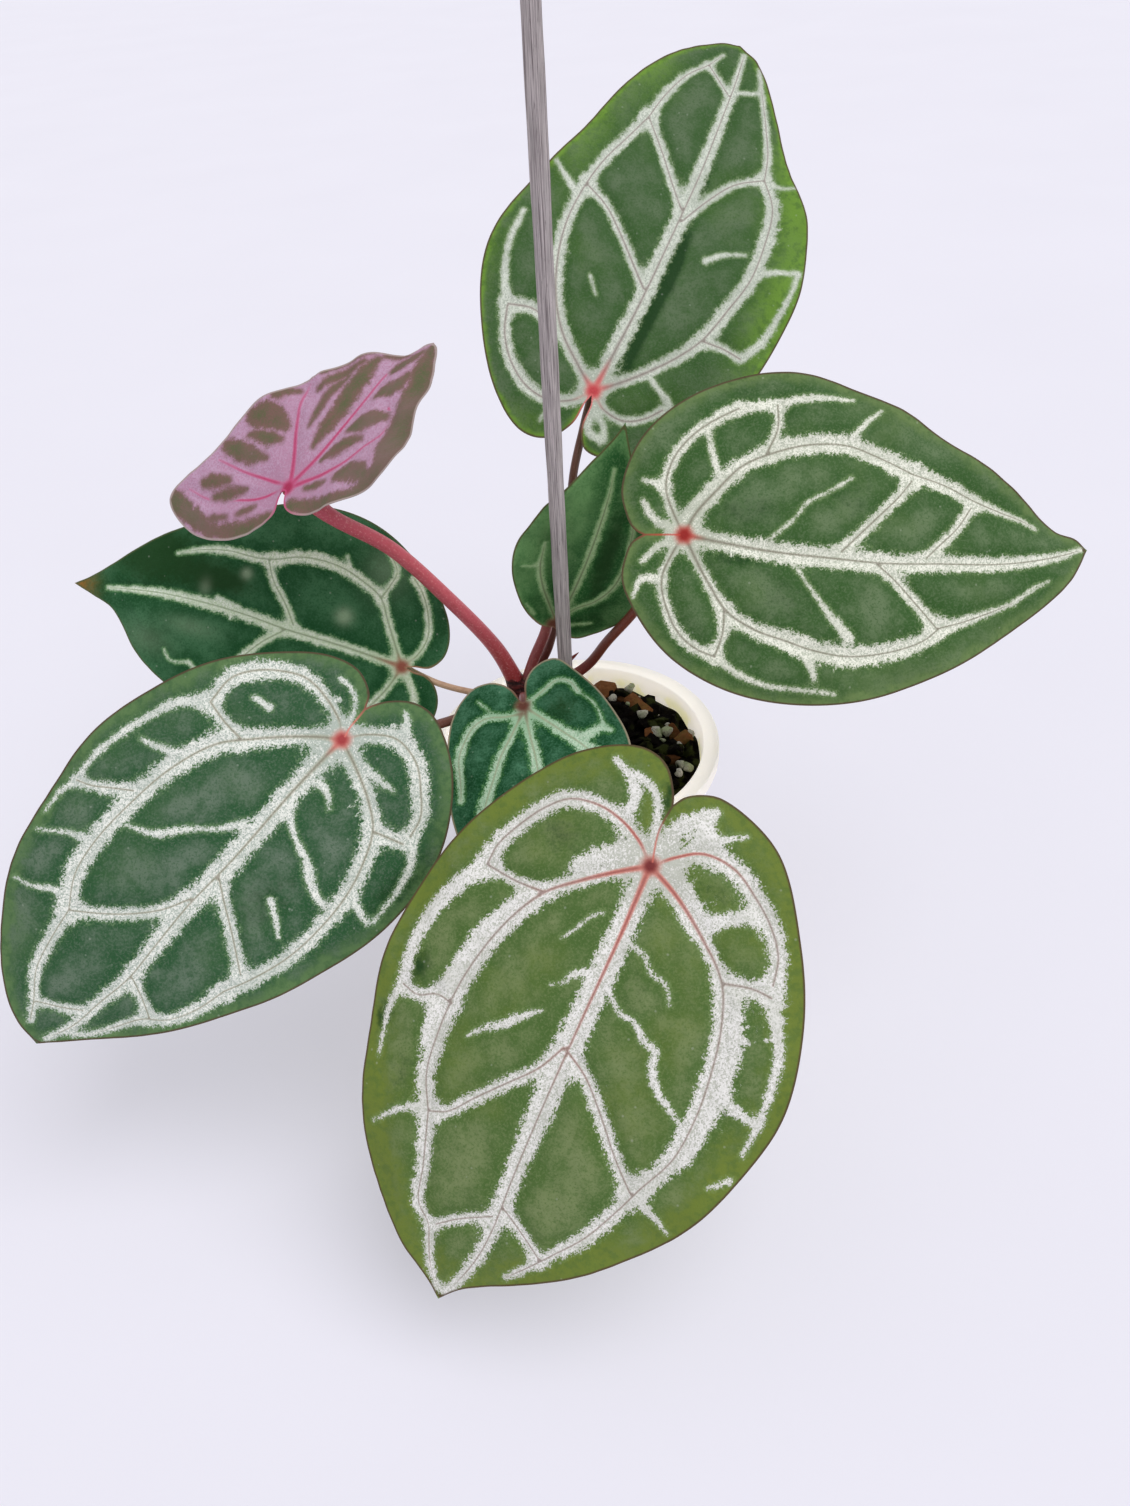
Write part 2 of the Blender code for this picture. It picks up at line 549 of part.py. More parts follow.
def leaf_axes(leaf):
    """Unit vectors of a blade: to its right side, along its midrib, and out of its face."""
    heading, lift, roll = (radians(leaf[key]) for key in ("heading", "lift", "roll"))
    along = np.array([cos(lift) * cos(heading), cos(lift) * sin(heading), sin(lift)])
    up = np.array([-sin(lift) * cos(heading), -sin(lift) * sin(heading), cos(lift)])
    out = cos(roll) * up + sin(roll) * np.cross(along, up)
    return np.cross(along, out), along, out


def seat_normal(leaf):
    """Direction square to the blade where its petiole meets it, on the arch's slope."""
    _, along, out = leaf_axes(leaf)
    slope = 4 * leaf["arch"] / leaf["length"]
    normal = out - slope * along
    return normal / np.linalg.norm(normal)


def segment_gap(points, lines):
    """Distance from each point to the nearest piece of some broken lines."""
    nearest = np.full(len(points), 1e9)
    for line in lines:
        a, b = line[:-1], line[1:]
        span = b - a
        reach = ((points[:, None] - a) * span).sum(-1) / (span ** 2).sum(-1)
        foot = a + np.clip(reach, 0, 1)[..., None] * span
        nearest = np.minimum(nearest, np.linalg.norm(points[:, None] - foot, axis=-1).min(1))
    return nearest


def blade_height(flat, leaf, net, margin):
    """Height of a blade's face over its plane.

    A parabola arches it along the midrib and another lifts or drops its sides;
    the fields between the veins puff up, and the margin waves. Both fade out
    round the petiole's seat.
    """
    x, y = flat[:, 0], flat[:, 1]
    along = y / leaf["length"]
    base = 4 * leaf["arch"] * along * (1 - along) + leaf["sides"] * (x / leaf["half_width"]) ** 2
    puff = leaf["puff"] * (1 - np.exp(-(segment_gap(flat, net) / PUFF_FADE) ** 2))
    edge = np.exp(-(segment_gap(flat, [margin]) / MARGIN_FADE) ** 2)
    turn = np.arctan2(x, y - 0.4 * leaf["length"])
    wave = 0.9 * leaf["puff"] * np.sin(WAVE_COUNT * turn) * edge
    away = 1 - np.exp(-(x ** 2 + y ** 2) / SEAT_RADIUS ** 2)
    return base + away * (puff * (1 - edge) + wave)


def make_blade(name, leaf):
    """Heart-shaped blade: one triangulation for both faces, creased along its net."""
    tip = [(0.0, leaf["length"])]
    right = curve_through([(0.0, -1.2)] + leaf["right"] + tip, MARGIN_STEP)
    left = curve_through([(0.0, -1.2)] + leaf["left"] + tip, MARGIN_STEP)
    margin = np.vstack([right, left[-2:0:-1]])
    net = [curve_through(vein, VEIN_STEP) for vein in leaf["veins"]]
    closed = np.vstack([margin, margin[:1]])

    low, high = margin.min(0), margin.max(0)
    columns = np.arange(low[0], high[0], INNER_STEP)
    rows = np.arange(low[1], high[1], INNER_STEP * 0.87)
    gx, gy = np.meshgrid(columns, rows)
    gx = gx + (np.arange(len(rows)) % 2)[:, None] * INNER_STEP / 2
    inner = np.stack([gx.ravel(), gy.ravel()], axis=1)
    clear = np.minimum(segment_gap(inner, net), segment_gap(inner, [closed]))
    inner = inner[clear > 0.36 * INNER_STEP]

    flat, edges = list(margin), []
    for line in net:
        start = len(flat)
        flat += list(line)
        edges += [(start + i, start + i + 1) for i in range(len(line) - 1)]
    flat += list(inner)
    ring = list(range(len(margin)))
    verts, _, faces, *_ = delaunay_2d_cdt([Vector(p) for p in flat], edges, [ring], 1, 0.05)
    flat = np.array([(v.x, v.y) for v in verts])
    faces = np.array([list(f) for f in faces])
    used = np.unique(faces)
    renumber = np.full(len(flat), -1)
    renumber[used] = np.arange(len(used))
    flat, faces = flat[used], renumber[faces]

    height = blade_height(flat, leaf, net, closed)
    fade = 1 - 0.7 * np.clip(flat[:, 1] / leaf["length"], 0, 1)
    rib = RIB_DEPTH * fade * np.exp(-(segment_gap(flat, net[:1]) / RIB_WIDTH) ** 2)
    side, along, out = leaf_axes(leaf)
    plane = np.asarray(leaf["attach"], float) + flat[:, :1] * side + flat[:, 1:] * along
    upper = plane + height[:, None] * out
    lower = upper - (BLADE_THICKNESS + rib)[:, None] * out
    count = len(upper)
    solid = [list(f) for f in faces] + [[int(v) + count for v in f[::-1]] for f in faces]
    sides = {}
    for a, b, c in faces:
        for edge in ((a, b), (b, c), (c, a)):
            sides[edge] = True
    for a, b in sides:
        if (b, a) not in sides:
            solid += [[b, a, a + count], [b, a + count, b + count]]
    return add_object(f"blade_{name}", np.vstack([upper, lower]), solid,
                      origin=leaf["attach"], material=leaf["finish"])


def make_petiole(name, leaf):
    """Petiole from its stub on the crown to the underside of its blade.

    It flares a little at its foot and swells where it bends into the blade.
    """
    start, aim = crown_stub(name)
    normal = seat_normal(leaf)
    depth = BLADE_THICKNESS + RIB_DEPTH + FIT_GAP
    end = np.asarray(leaf["attach"], float) - depth * normal
    bend = end - 2.5 * leaf["petiole_radius"] * normal
    points = [start + FIT_GAP * aim] + leaf["route"] + [bend, end]
    path = curve_through(points, PETIOLE_STEP)
    share = np.linspace(0, 1, len(path))
    shape = np.interp(share, [0, 0.12, 0.5, 0.86, 0.95, 1], [1.12, 1.0, 0.92, 0.9, 1.05, 0.8])
    radii = leaf["petiole_radius"] * shape
    points, faces = tube(path, radii, PETIOLE_SIDES, start_aim=aim, end_aim=normal)
    return add_object(f"petiole_{name}", points, faces, origin=path[0],
                      material=leaf["petiole"])


clear_scene()
make_pot()
make_soil()
make_stake()
make_crown()
for leaf_name, leaf_values in LEAVES.items():
    make_petiole(leaf_name, leaf_values)
    make_blade(leaf_name, leaf_values)
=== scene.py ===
"""Potted anthurium: the look of every piece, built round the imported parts.

A young velvet-leaved aroid in a milky nursery pot. The sections follow the plant as
it is put together: pot, bark mix, stake, crown, then each leaf with its petiole, and
last the pale table top, the light and the camera. Shapes are in millimetres in the
parts' own frame: origin at the centre of the pot's base, +Z up.
"""
from math import cos, radians, sin, tau

import bmesh
import bpy
import numpy as np
from mathutils import Matrix, Vector
from mathutils.geometry import delaunay_2d_cdt


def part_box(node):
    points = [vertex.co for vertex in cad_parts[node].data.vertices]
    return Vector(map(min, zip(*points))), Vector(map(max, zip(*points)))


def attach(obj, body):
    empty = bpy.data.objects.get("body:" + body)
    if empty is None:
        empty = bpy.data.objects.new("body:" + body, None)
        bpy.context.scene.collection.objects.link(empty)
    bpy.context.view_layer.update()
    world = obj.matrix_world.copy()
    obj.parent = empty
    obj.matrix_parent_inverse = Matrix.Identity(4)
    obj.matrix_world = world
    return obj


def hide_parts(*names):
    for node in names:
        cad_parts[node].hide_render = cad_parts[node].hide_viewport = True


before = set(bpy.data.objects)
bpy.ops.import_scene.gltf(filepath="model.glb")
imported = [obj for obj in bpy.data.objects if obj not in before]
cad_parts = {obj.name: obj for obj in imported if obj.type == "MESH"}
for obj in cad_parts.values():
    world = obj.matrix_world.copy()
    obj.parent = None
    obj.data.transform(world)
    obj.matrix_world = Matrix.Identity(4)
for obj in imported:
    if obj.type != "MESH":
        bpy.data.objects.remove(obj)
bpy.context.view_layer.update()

# Pot: a thin round nursery pot moulded in one piece from milky plastic. Its wall
# tapers down from a flat flanged rim with a turned-down lip. Algae tints the inside
# above the damp mix, and the dark mix shows faintly through the wall. The plastic
# glows faintly with painted light, most inside the wall, for daylight that passes through.
MM = 0.001
pot_low, pot_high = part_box("pot")
RIM_RADIUS = (pot_high.x - pot_low.x) / 2 / MM
POT_HEIGHT = pot_high.z / MM
POT_BASE_RADIUS = 36.0
POT_TOP_RADIUS = 45.8
POT_WALL = 1.2
POT_FLOOR = 1.5
RIM_THICKNESS = 1.5
LIP_DROP = 5.0
POT_EDGE = 0.55
POT_SIDES = 180
DRAIN_HOLES = 8
DRAIN_RADIUS = 3.0
DRAIN_CIRCLE = 24.0


def capped(rings, foot, tip):
    """Points and faces of a stack of rings, rows x sides x 3, closed at each end by a fan
    of triangles to a point of its own."""
    rows, sides = rings.shape[:2]
    here = np.arange(sides)
    beside = (here + 1) % sides
    row = np.arange(rows - 1)[:, None] * sides
    quads = np.stack([row + here, row + beside, row + sides + beside, row + sides + here], axis=-1)
    count = rows * sides
    last = count - sides
    opening = np.stack([np.full(sides, count), beside, here], axis=1)
    closing = np.stack([np.full(sides, count + 1), last + here, last + beside], axis=1)
    faces = quads.reshape(-1, 4).tolist() + opening.tolist() + closing.tolist()
    return np.vstack([rings.reshape(-1, 3), foot, tip]), faces


def rounded(corners, radius, steps=4):
    """Profile whose inner corners are eased: each becomes a parabola that starts and
    ends `radius` before and after it, or a third of the way to its neighbour."""
    corners = np.asarray(corners, float)
    before, here, after = corners[:-2], corners[1:-1], corners[2:]
    back, ahead = before - here, after - here
    back_length = np.linalg.norm(back, axis=1, keepdims=True)
    ahead_length = np.linalg.norm(ahead, axis=1, keepdims=True)
    start = here + back * np.minimum(radius / back_length, 0.33)
    stop = here + ahead * np.minimum(radius / ahead_length, 0.33)
    t = np.linspace(0, 1, steps)[None, :, None]
    eased = (1 - t) ** 2 * start[:, None] + 2 * t * (1 - t) * here[:, None] + t ** 2 * stop[:, None]
    return np.vstack([corners[:1], eased.reshape(-1, 2), corners[-1:]])


def turned(profile, sides):
    """Points and faces of a profile of (radius, height) carried once round Z. The profile
    starts and ends on the axis."""
    angle = np.arange(sides) * tau / sides
    radius, height = profile[1:-1, :1], profile[1:-1, 1:]
    rings = np.stack([radius * np.cos(angle), radius * np.sin(angle), height + 0 * angle], axis=-1)
    return capped(rings, (0, 0, profile[0, 1]), (0, 0, profile[-1, 1]))


def add_mesh(name, points, faces, *materials):
    """Smooth mesh object at the origin from millimetre points."""
    mesh = bpy.data.meshes.new(name)
    mesh.from_pydata((np.asarray(points) * MM).tolist(), [], faces)
    for material in materials:
        mesh.materials.append(material)
    mesh.shade_smooth()
    made = bpy.data.objects.new(name, mesh)
    bpy.context.scene.collection.objects.link(made)
    return made


def fit_piece(piece, slot, *nodes):
    """Fix a piece to the plant's one body; it stands for the named CAD nodes."""
    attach(piece, "root")
    if nodes:
        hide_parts(*nodes)


def combine(piece, other, operation):
    """Join another mesh to a piece ("UNION"), or cut it out ("DIFFERENCE"), and remove the other."""
    change = piece.modifiers.new("combine", "BOOLEAN")
    change.operation = operation
    change.object = other
    bpy.context.view_layer.update()
    piece.data = bpy.data.meshes.new_from_object(piece.evaluated_get(bpy.context.evaluated_depsgraph_get()))
    piece.modifiers.clear()
    bpy.data.objects.remove(other)


def add_values(piece, name, values):
    """Store one number for each point of a mesh, for its material to read."""
    layer = piece.data.attributes.new(name, "FLOAT", "POINT")
    layer.data.foreach_set("value", np.asarray(values, np.float32))


def node(tree, kind, settings=None, sockets=None):
    """Add a shader node. Each socket takes a value, or the output that feeds it."""
    made = tree.nodes.new("ShaderNode" + kind)
    for key, value in (settings or {}).items():
        setattr(made, key, value)
    for key, value in (sockets or {}).items():
        if isinstance(value, bpy.types.NodeSocket):
            tree.links.new(value, made.inputs[key])
        else:
            made.inputs[key].default_value = value
    return made


def maths(tree, operation, first, second=0.0):
    """Output of one Math node."""
    return node(tree, "Math", {"operation": operation}, {0: first, 1: second}).outputs[0]


def times(tree, first, second):
    """Product of two values."""
    return maths(tree, "MULTIPLY", first, second)


def plus(tree, first, second):
    """Sum of two values."""
    return maths(tree, "ADD", first, second)


def minus(tree, first, second):
    """First value less the second."""
    return maths(tree, "SUBTRACT", first, second)


def fade(tree, value, start, stop):
    """0 to 1 as the value goes from start to stop, eased at both ends."""
    made = node(tree, "MapRange", {"interpolation_type": "SMOOTHSTEP"},
                {"Value": value, "From Min": start, "From Max": stop})
    return made.outputs["Result"]


def blend(tree, share, first, second):
    """Colour between first and second."""
    made = node(tree, "Mix", {"data_type": "RGBA"}, {0: share, 6: first, 7: second})
    return made.outputs[2]


def lay(tree, under, share, strength, over):
    """Colour `under` with `over` laid on it, by share times strength."""
    return blend(tree, times(tree, share, strength), under, over)


def cloud(tree, place, scale, detail=2.0, roughness=0.5):
    """Noise from 0 to 1, with `scale` features in a metre of Object coordinates."""
    made = node(tree, "TexNoise", None, {"Vector": place, "Scale": scale, "Detail": detail,
                                         "Roughness": roughness})
    return made.outputs["Fac"]


def drawn_out(tree, first, second, first_scale, second_scale):
    """Place for a noise made of two numbers, each times its own scale."""
    return node(tree, "CombineXYZ", None, {0: times(tree, first, first_scale),
                                           1: times(tree, second, second_scale)}).outputs[0]


def squeezed(tree, place, *scales):
    """Place scaled along X, Y and Z."""
    return node(tree, "Mapping", None, {"Vector": place, "Scale": scales}).outputs[0]


def stored(tree, name):
    """One of the numbers stored on the mesh's points."""
    return node(tree, "Attribute", {"attribute_name": name}).outputs["Fac"]


def colour(red, green, blue):
    """Opaque linear colour."""
    return (red, green, blue, 1.0)


def new_material(name, **values):
    """Material with a Principled BSDF; values go on the shader's own sockets."""
    material = bpy.data.materials.new(name)
    material.use_nodes = True
    shader = material.node_tree.nodes["Principled BSDF"]
    for key, value in values.items():
        shader.inputs[key.replace("_", " ")].default_value = value
    return material, material.node_tree, shader


def bump(tree, shader, height, distance, strength=1.0):
    """Feed the shader a bump of that height, `distance` metres deep."""
    made = node(tree, "Bump", None, {"Height": height, "Distance": distance, "Strength": strength})
    tree.links.new(made.outputs["Normal"], shader.inputs["Normal"])


def wall_radius(height):
    """Outside radius of the tapered wall at a height."""
    share = height / (POT_HEIGHT - RIM_THICKNESS)
    return POT_BASE_RADIUS + share * (POT_TOP_RADIUS - POT_BASE_RADIUS)


under_rim = POT_HEIGHT - RIM_THICKNESS
lip_inside = RIM_RADIUS - POT_WALL
profile = rounded([
    (0.0, 0.0),
    (POT_BASE_RADIUS - 1.0, 0.0),
    (wall_radius(2.0), 2.0),
    (POT_TOP_RADIUS, under_rim),
    (lip_inside, under_rim),
    (lip_inside, POT_HEIGHT - LIP_DROP),
    (RIM_RADIUS, POT_HEIGHT - LIP_DROP),
    (RIM_RADIUS, POT_HEIGHT),
    (POT_TOP_RADIUS - POT_WALL, POT_HEIGHT),
    (wall_radius(POT_FLOOR) - POT_WALL, POT_FLOOR),
    (0.0, POT_FLOOR),
], POT_EDGE)
points, faces = turned(profile, POT_SIDES)

plastic, tree, shader = new_material("milky plastic", Roughness=0.42, Subsurface_Weight=0.6,
                                     Subsurface_Radius=(1.0, 0.97, 0.85),
                                     Subsurface_Scale=0.004, IOR=1.49, Transmission_Weight=0.15,
                                     Emission_Strength=0.36)
place = node(tree, "TexCoord").outputs["Object"]
height = node(tree, "SeparateXYZ", None, {0: place}).outputs["Z"]
inside = stored(tree, "inside")
patches = cloud(tree, place, 90.0, 4.0)
damp = times(tree, fade(tree, height, 0.0880, 0.0815), fade(tree, patches, 0.42, 0.62))
behind = times(tree, fade(tree, height, 0.084, 0.078), fade(tree, patches, 0.42, 0.60))
through = times(tree, behind, minus(tree, 1.0, inside))
specks = fade(tree, cloud(tree, place, 420.0, 3.0), 0.66, 0.74)
dirt = times(tree, specks, fade(tree, cloud(tree, place, 40.0), 0.52, 0.62))
tone = lay(tree, colour(0.95, 0.905, 0.865), through, 0.22, colour(0.55, 0.50, 0.42))
tone = lay(tree, tone, times(tree, inside, damp), 0.75, colour(0.72, 0.70, 0.38))
tone = lay(tree, tone, dirt, 0.55, colour(0.16, 0.12, 0.07))
tree.links.new(tone, shader.inputs["Base Color"])
# Painted light: the wall glows, near white inside and dull grey outside, for daylight shining through the
# milky plastic.
tree.links.new(blend(tree, inside, colour(0.40, 0.38, 0.34), tone), shader.inputs["Emission Color"])
tree.links.new(fade(tree, patches, 2.2, -0.6), shader.inputs["Roughness"])
bump(tree, shader, cloud(tree, place, 900.0), 0.00012, 0.5)

pot = add_mesh("pot_shell", points, faces, plastic)
for i in range(DRAIN_HOLES):
    turn = (i + 0.5) * tau / DRAIN_HOLES
    plug, plug_faces = turned(np.array([(0, -2), (DRAIN_RADIUS, -2), (DRAIN_RADIUS, 4), (0, 4)], float), 32)
    centre = (DRAIN_CIRCLE * cos(turn), DRAIN_CIRCLE * sin(turn), 0)
    combine(pot, add_mesh("drain", plug + centre, plug_faces), "DIFFERENCE")
pot.data.set_sharp_from_angle(angle=radians(50))
spots = np.zeros(3 * len(pot.data.vertices), np.float32)
pot.data.vertices.foreach_get("co", spots)
spots = spots.reshape(-1, 3) / MM
reach = np.hypot(spots[:, 0], spots[:, 1])
add_values(pot, "inside", (reach < wall_radius(spots[:, 2]) - POT_WALL / 2) & (spots[:, 2] > POT_FLOOR / 2))
fit_piece(pot, "pot", "pot")

# Bark mix: damp dark bark chips with a few orange-brown ones and white perlite,
# heaped to a few millimetres under the rim. The bed is one solid body; the loose
# chips and grains that show lie on it, each a small worn block with its own tone.
SOIL_LEVEL = 80.0
CHIP_SPACING = 4.6
GRAIN_SPACING = 6.4
BED_CLEARANCE = 0.4
BED_SIDES, BED_RINGS = 150, 48
BROWN_CHIPS = [(24.2, 24.4), (12.0, 34.0)]
PERLITE_LUMPS = [(22.7, 35.0), (25.3, 17.6), (29.3, 8.4), (33.0, 8.0), (34.1, -15.2), (38.0, -12.6),
                 (41.0, 4.4), (35.5, -10.5)]
STAKE_SPACE, CROWN_SPACE = 5.5, 8.5
STAKE_FOOT = np.array([-3.4, 17.7, 14.0])
STAKE_TOP = np.array([3.2, -13.1, 318.0])
CROWN_CENTRE = np.array([-17.0, 22.0, 92.0])
rng = np.random.default_rng(11)
bed_radius = wall_radius(SOIL_LEVEL) - POT_WALL - BED_CLEARANCE


def bed_height(x, y):
    """Lumpy level of the mix: three crossed waves of chip-sized swells, lower at the wall."""
    swell = np.sin(x / 3.1 + 1.0) * np.sin(y / 2.7)
    swell = swell + 0.7 * np.sin(x / 5.3 - y / 4.1) + 0.5 * np.sin(y / 1.9 + x / 2.3)
    return SOIL_LEVEL + 1.2 + 0.7 * swell - 1.0 * (np.hypot(x, y) / bed_radius) ** 6


bed_foot = POT_FLOOR + 0.3
profile = [(0.0, SOIL_LEVEL)] + [(r, SOIL_LEVEL) for r in np.linspace(0.8, bed_radius, BED_RINGS)]
profile += [(wall_radius(POT_FLOOR) - POT_WALL - BED_CLEARANCE, bed_foot), (0.0, bed_foot)]
points, faces = turned(np.array(profile)[::-1], BED_SIDES)
top = points[:, 2] > SOIL_LEVEL - 1
points[top, 2] = bed_height(points[top, 0], points[top, 1])

bark, tree, shader = new_material("bark mix", Specular_IOR_Level=0.02)
place = node(tree, "TexCoord").outputs["Object"]
tone = stored(tree, "tone")
fibres = cloud(tree, squeezed(tree, place, 1.0, 1.0, 3.0), 700.0, 5.0, 0.65)
dark = blend(tree, fibres, colour(0.0004, 0.0003, 0.0003), colour(0.006, 0.004, 0.003))
brown = blend(tree, fibres, colour(0.045, 0.018, 0.008), colour(0.300, 0.120, 0.045))
shown = blend(tree, fade(tree, tone, 0.40, 0.95), dark, brown)
damp_side = fade(tree, node(tree, "SeparateXYZ", None, {0: place}).outputs["X"], 0.012, 0.034)
moss = times(tree, fade(tree, cloud(tree, place, 160.0, 4.0), 0.50, 0.62), damp_side)
shown = lay(tree, shown, moss, 0.22, colour(0.120, 0.150, 0.030))
tree.links.new(shown, shader.inputs["Base Color"])
tree.links.new(fade(tree, fibres, 1.6, -0.2), shader.inputs["Roughness"])
bump(tree, shader, fibres, 0.0006)


def ball():
    """Points and triangles of an icosahedron split once: 42 points, 80 faces."""
    made = bmesh.new()
    bmesh.ops.create_icosphere(made, subdivisions=2, radius=1.0)
    made.verts.ensure_lookup_table()
    points = np.array([v.co for v in made.verts])
    faces = np.array([[v.index for v in f.verts] for f in made.faces])
    made.free()
    return points, faces


def scatter(spacing, radius):
    """Places on a shaken square grid of that spacing, inside the radius and clear of the
    crown and the stake."""
    steps = np.arange(-radius, radius + spacing, spacing)
    x, y = np.meshgrid(steps, steps)
    spots = np.stack([x.ravel(), y.ravel()], axis=1) + rng.uniform(-0.4, 0.4, (x.size, 2)) * spacing
    rise = (SOIL_LEVEL - STAKE_FOOT[2]) / (STAKE_TOP - STAKE_FOOT)[2]
    stake = (STAKE_FOOT + rise * (STAKE_TOP - STAKE_FOOT))[:2]
    clear = np.hypot(*spots.T) < radius
    clear &= np.linalg.norm(spots - stake, axis=1) > STAKE_SPACE
    clear &= np.linalg.norm(spots - CROWN_CENTRE[:2], axis=1) > CROWN_SPACE
    return spots[clear]


def worn_blocks(spots, sizes, squareness, tilt, sink):
    """Many small blocks at once: a ball pushed towards a box by a power of its
    coordinates, dented by a wave, stretched, turned and set on the bed."""
    base, faces = ball()
    count = len(spots)
    body = np.sign(base) * np.abs(base) ** squareness
    phase = rng.uniform(0, tau, (count, 1, 3))
    dent = 1 + 0.16 * np.sin(3.1 * base[None] + phase).sum(-1, keepdims=True)
    body = body[None] * dent * sizes[:, None, :]
    yaw = rng.uniform(0, tau, count)
    lean, side = rng.normal(0, tilt, count), rng.normal(0, tilt, count)
    cy, sy, cl, sl, cs, ss = (f(a) for a in (yaw, lean, side) for f in (np.cos, np.sin))
    zero, one = np.zeros(count), np.ones(count)
    about_z = np.array([[cy, -sy, zero], [sy, cy, zero], [zero, zero, one]]).transpose(2, 0, 1)
    about_x = np.array([[one, zero, zero], [zero, cl, -sl], [zero, sl, cl]]).transpose(2, 0, 1)
    about_y = np.array([[cs, zero, ss], [zero, one, zero], [-ss, zero, cs]]).transpose(2, 0, 1)
    body = body @ (about_z @ about_x @ about_y).transpose(0, 2, 1)
    centre = np.column_stack([spots, bed_height(*spots.T) + sink * sizes[:, 2]])
    points = (body + centre[:, None]).reshape(-1, 3)
    return points, (faces[None] + np.arange(count)[:, None, None] * len(base)).reshape(-1, 3), len(base)


bed = add_mesh("bark_bed", points, faces, bark)
add_values(bed, "tone", np.zeros(len(points)))
fit_piece(bed, "bark_mix", "soil")

spots = scatter(CHIP_SPACING, bed_radius - 4.5)
sizes = rng.uniform((1.6, 1.3, 0.8), (5.6, 3.4, 1.9), (len(spots), 3))
tones = rng.uniform(0, 1, len(spots)) ** 5.0
spots = np.vstack([spots, BROWN_CHIPS])
sizes = np.vstack([sizes, [(6.0, 4.2, 2.6)] * len(BROWN_CHIPS)])
tones = np.append(tones, np.full(len(BROWN_CHIPS), 0.9))
points, faces, each = worn_blocks(spots, sizes, 0.55, 0.32, 0.55)
chips = add_mesh("bark_chips", points, faces.tolist(), bark)
chips.data.set_sharp_from_angle(angle=radians(38))
add_values(chips, "tone", np.repeat(tones, each))
fit_piece(chips, "bark_mix")

perlite, tree, shader = new_material("perlite", Roughness=0.85)
place = node(tree, "TexCoord").outputs["Object"]
pores = cloud(tree, place, 2200.0, 3.0)
stain = fade(tree, cloud(tree, place, 150.0), 0.45, 0.65)
shown = blend(tree, stain, colour(0.56, 0.53, 0.46), colour(0.30, 0.35, 0.18))
shown = blend(tree, fade(tree, pores, 0.5, 0.3), shown, colour(0.20, 0.17, 0.13))
tree.links.new(shown, shader.inputs["Base Color"])
bump(tree, shader, pores, 0.0004)
spots = scatter(GRAIN_SPACING, bed_radius - 3.0)
sizes = rng.uniform((0.4, 0.4, 0.3), (1.0, 0.9, 0.8), (len(spots), 3))
sizes *= rng.uniform(0.7, 2.0, (len(spots), 1))
spots = np.vstack([spots, PERLITE_LUMPS])
sizes = np.vstack([sizes, rng.uniform((1.4, 1.2, 1.0), (2.4, 2.0, 1.6), (len(PERLITE_LUMPS), 3))])
points, faces, _ = worn_blocks(spots, sizes, 0.65, 0.8, 1.4)
grains = add_mesh("perlite_grains", points, faces.tolist(), perlite)
fit_piece(grains, "bark_mix")

# Stake: a slim stick of weathered grey wood, nearly five millimetres through, pushed
# into the mix. Rain has raised its grain into fine lengthwise ridges and checks.
STAKE_RADIUS = 2.3
STAKE_LENGTH = 305.0
STAKE_SIDES = 40
ACROSS = np.array([1.0, 0, 0])


def tube(path, radii, sides, facing=None):
    """Closed tube: a ring of points round each point of the path, square to it.

    The first spoke of each ring lies along the normal of the plane that fits the
    path best, or along `facing`, so the rings never twist. `radii` holds one radius
    for each ring, or one for each point of each ring.
    """
    along = np.gradient(path, axis=0)
    along /= np.linalg.norm(along, axis=1, keepdims=True)
    if facing is None:
        facing = np.linalg.svd(path - path.mean(0), full_matrices=False)[2][-1]
    side = facing - (along @ facing)[:, None] * along
    side /= np.linalg.norm(side, axis=1, keepdims=True)
    other = np.cross(along, side)
    turn = np.arange(sides) * tau / sides
    ring = np.cos(turn)[:, None] * side[:, None] + np.sin(turn)[:, None] * other[:, None]
    radii = np.asarray(radii, float).reshape(len(path), -1)
    return capped(path[:, None] + radii[..., None] * ring, path[0], path[-1])


def add_lengths(piece, rings, sides, length):
    """Store on a tube's points how far along (mm) and round (turns, folded to 0-1-0) each lies."""
    along = np.repeat(np.linspace(0, length, rings), sides)
    round_it = np.tile(1 - np.abs(2 * np.arange(sides) / sides - 1), rings)
    add_values(piece, "along", np.concatenate([along, [0, length]]))
    add_values(piece, "round", np.concatenate([round_it, [0, 0]]))


wood, tree, shader = new_material("weathered wood", Roughness=0.85, Specular_IOR_Level=0.3)
along, round_it = stored(tree, "along"), stored(tree, "round")
where = drawn_out(tree, round_it, along, 14.0, 0.035)
grain = cloud(tree, where, 1.6, 6.0, 0.62)
fleck = cloud(tree, drawn_out(tree, round_it, along, 22.0, 0.35), 1.0, 3.0)
shown = blend(tree, fade(tree, grain, 0.32, 0.66), colour(0.180, 0.150, 0.155), colour(0.660, 0.585, 0.585))
shown = blend(tree, fade(tree, fleck, 0.62, 0.76), shown, colour(0.160, 0.135, 0.135))
bleached = fade(tree, cloud(tree, where, 0.35), 0.45, 0.7)
shown = lay(tree, shown, bleached, 0.5, colour(0.52, 0.47, 0.465))
tree.links.new(shown, shader.inputs["Base Color"])
bump(tree, shader, grain, 0.0005)

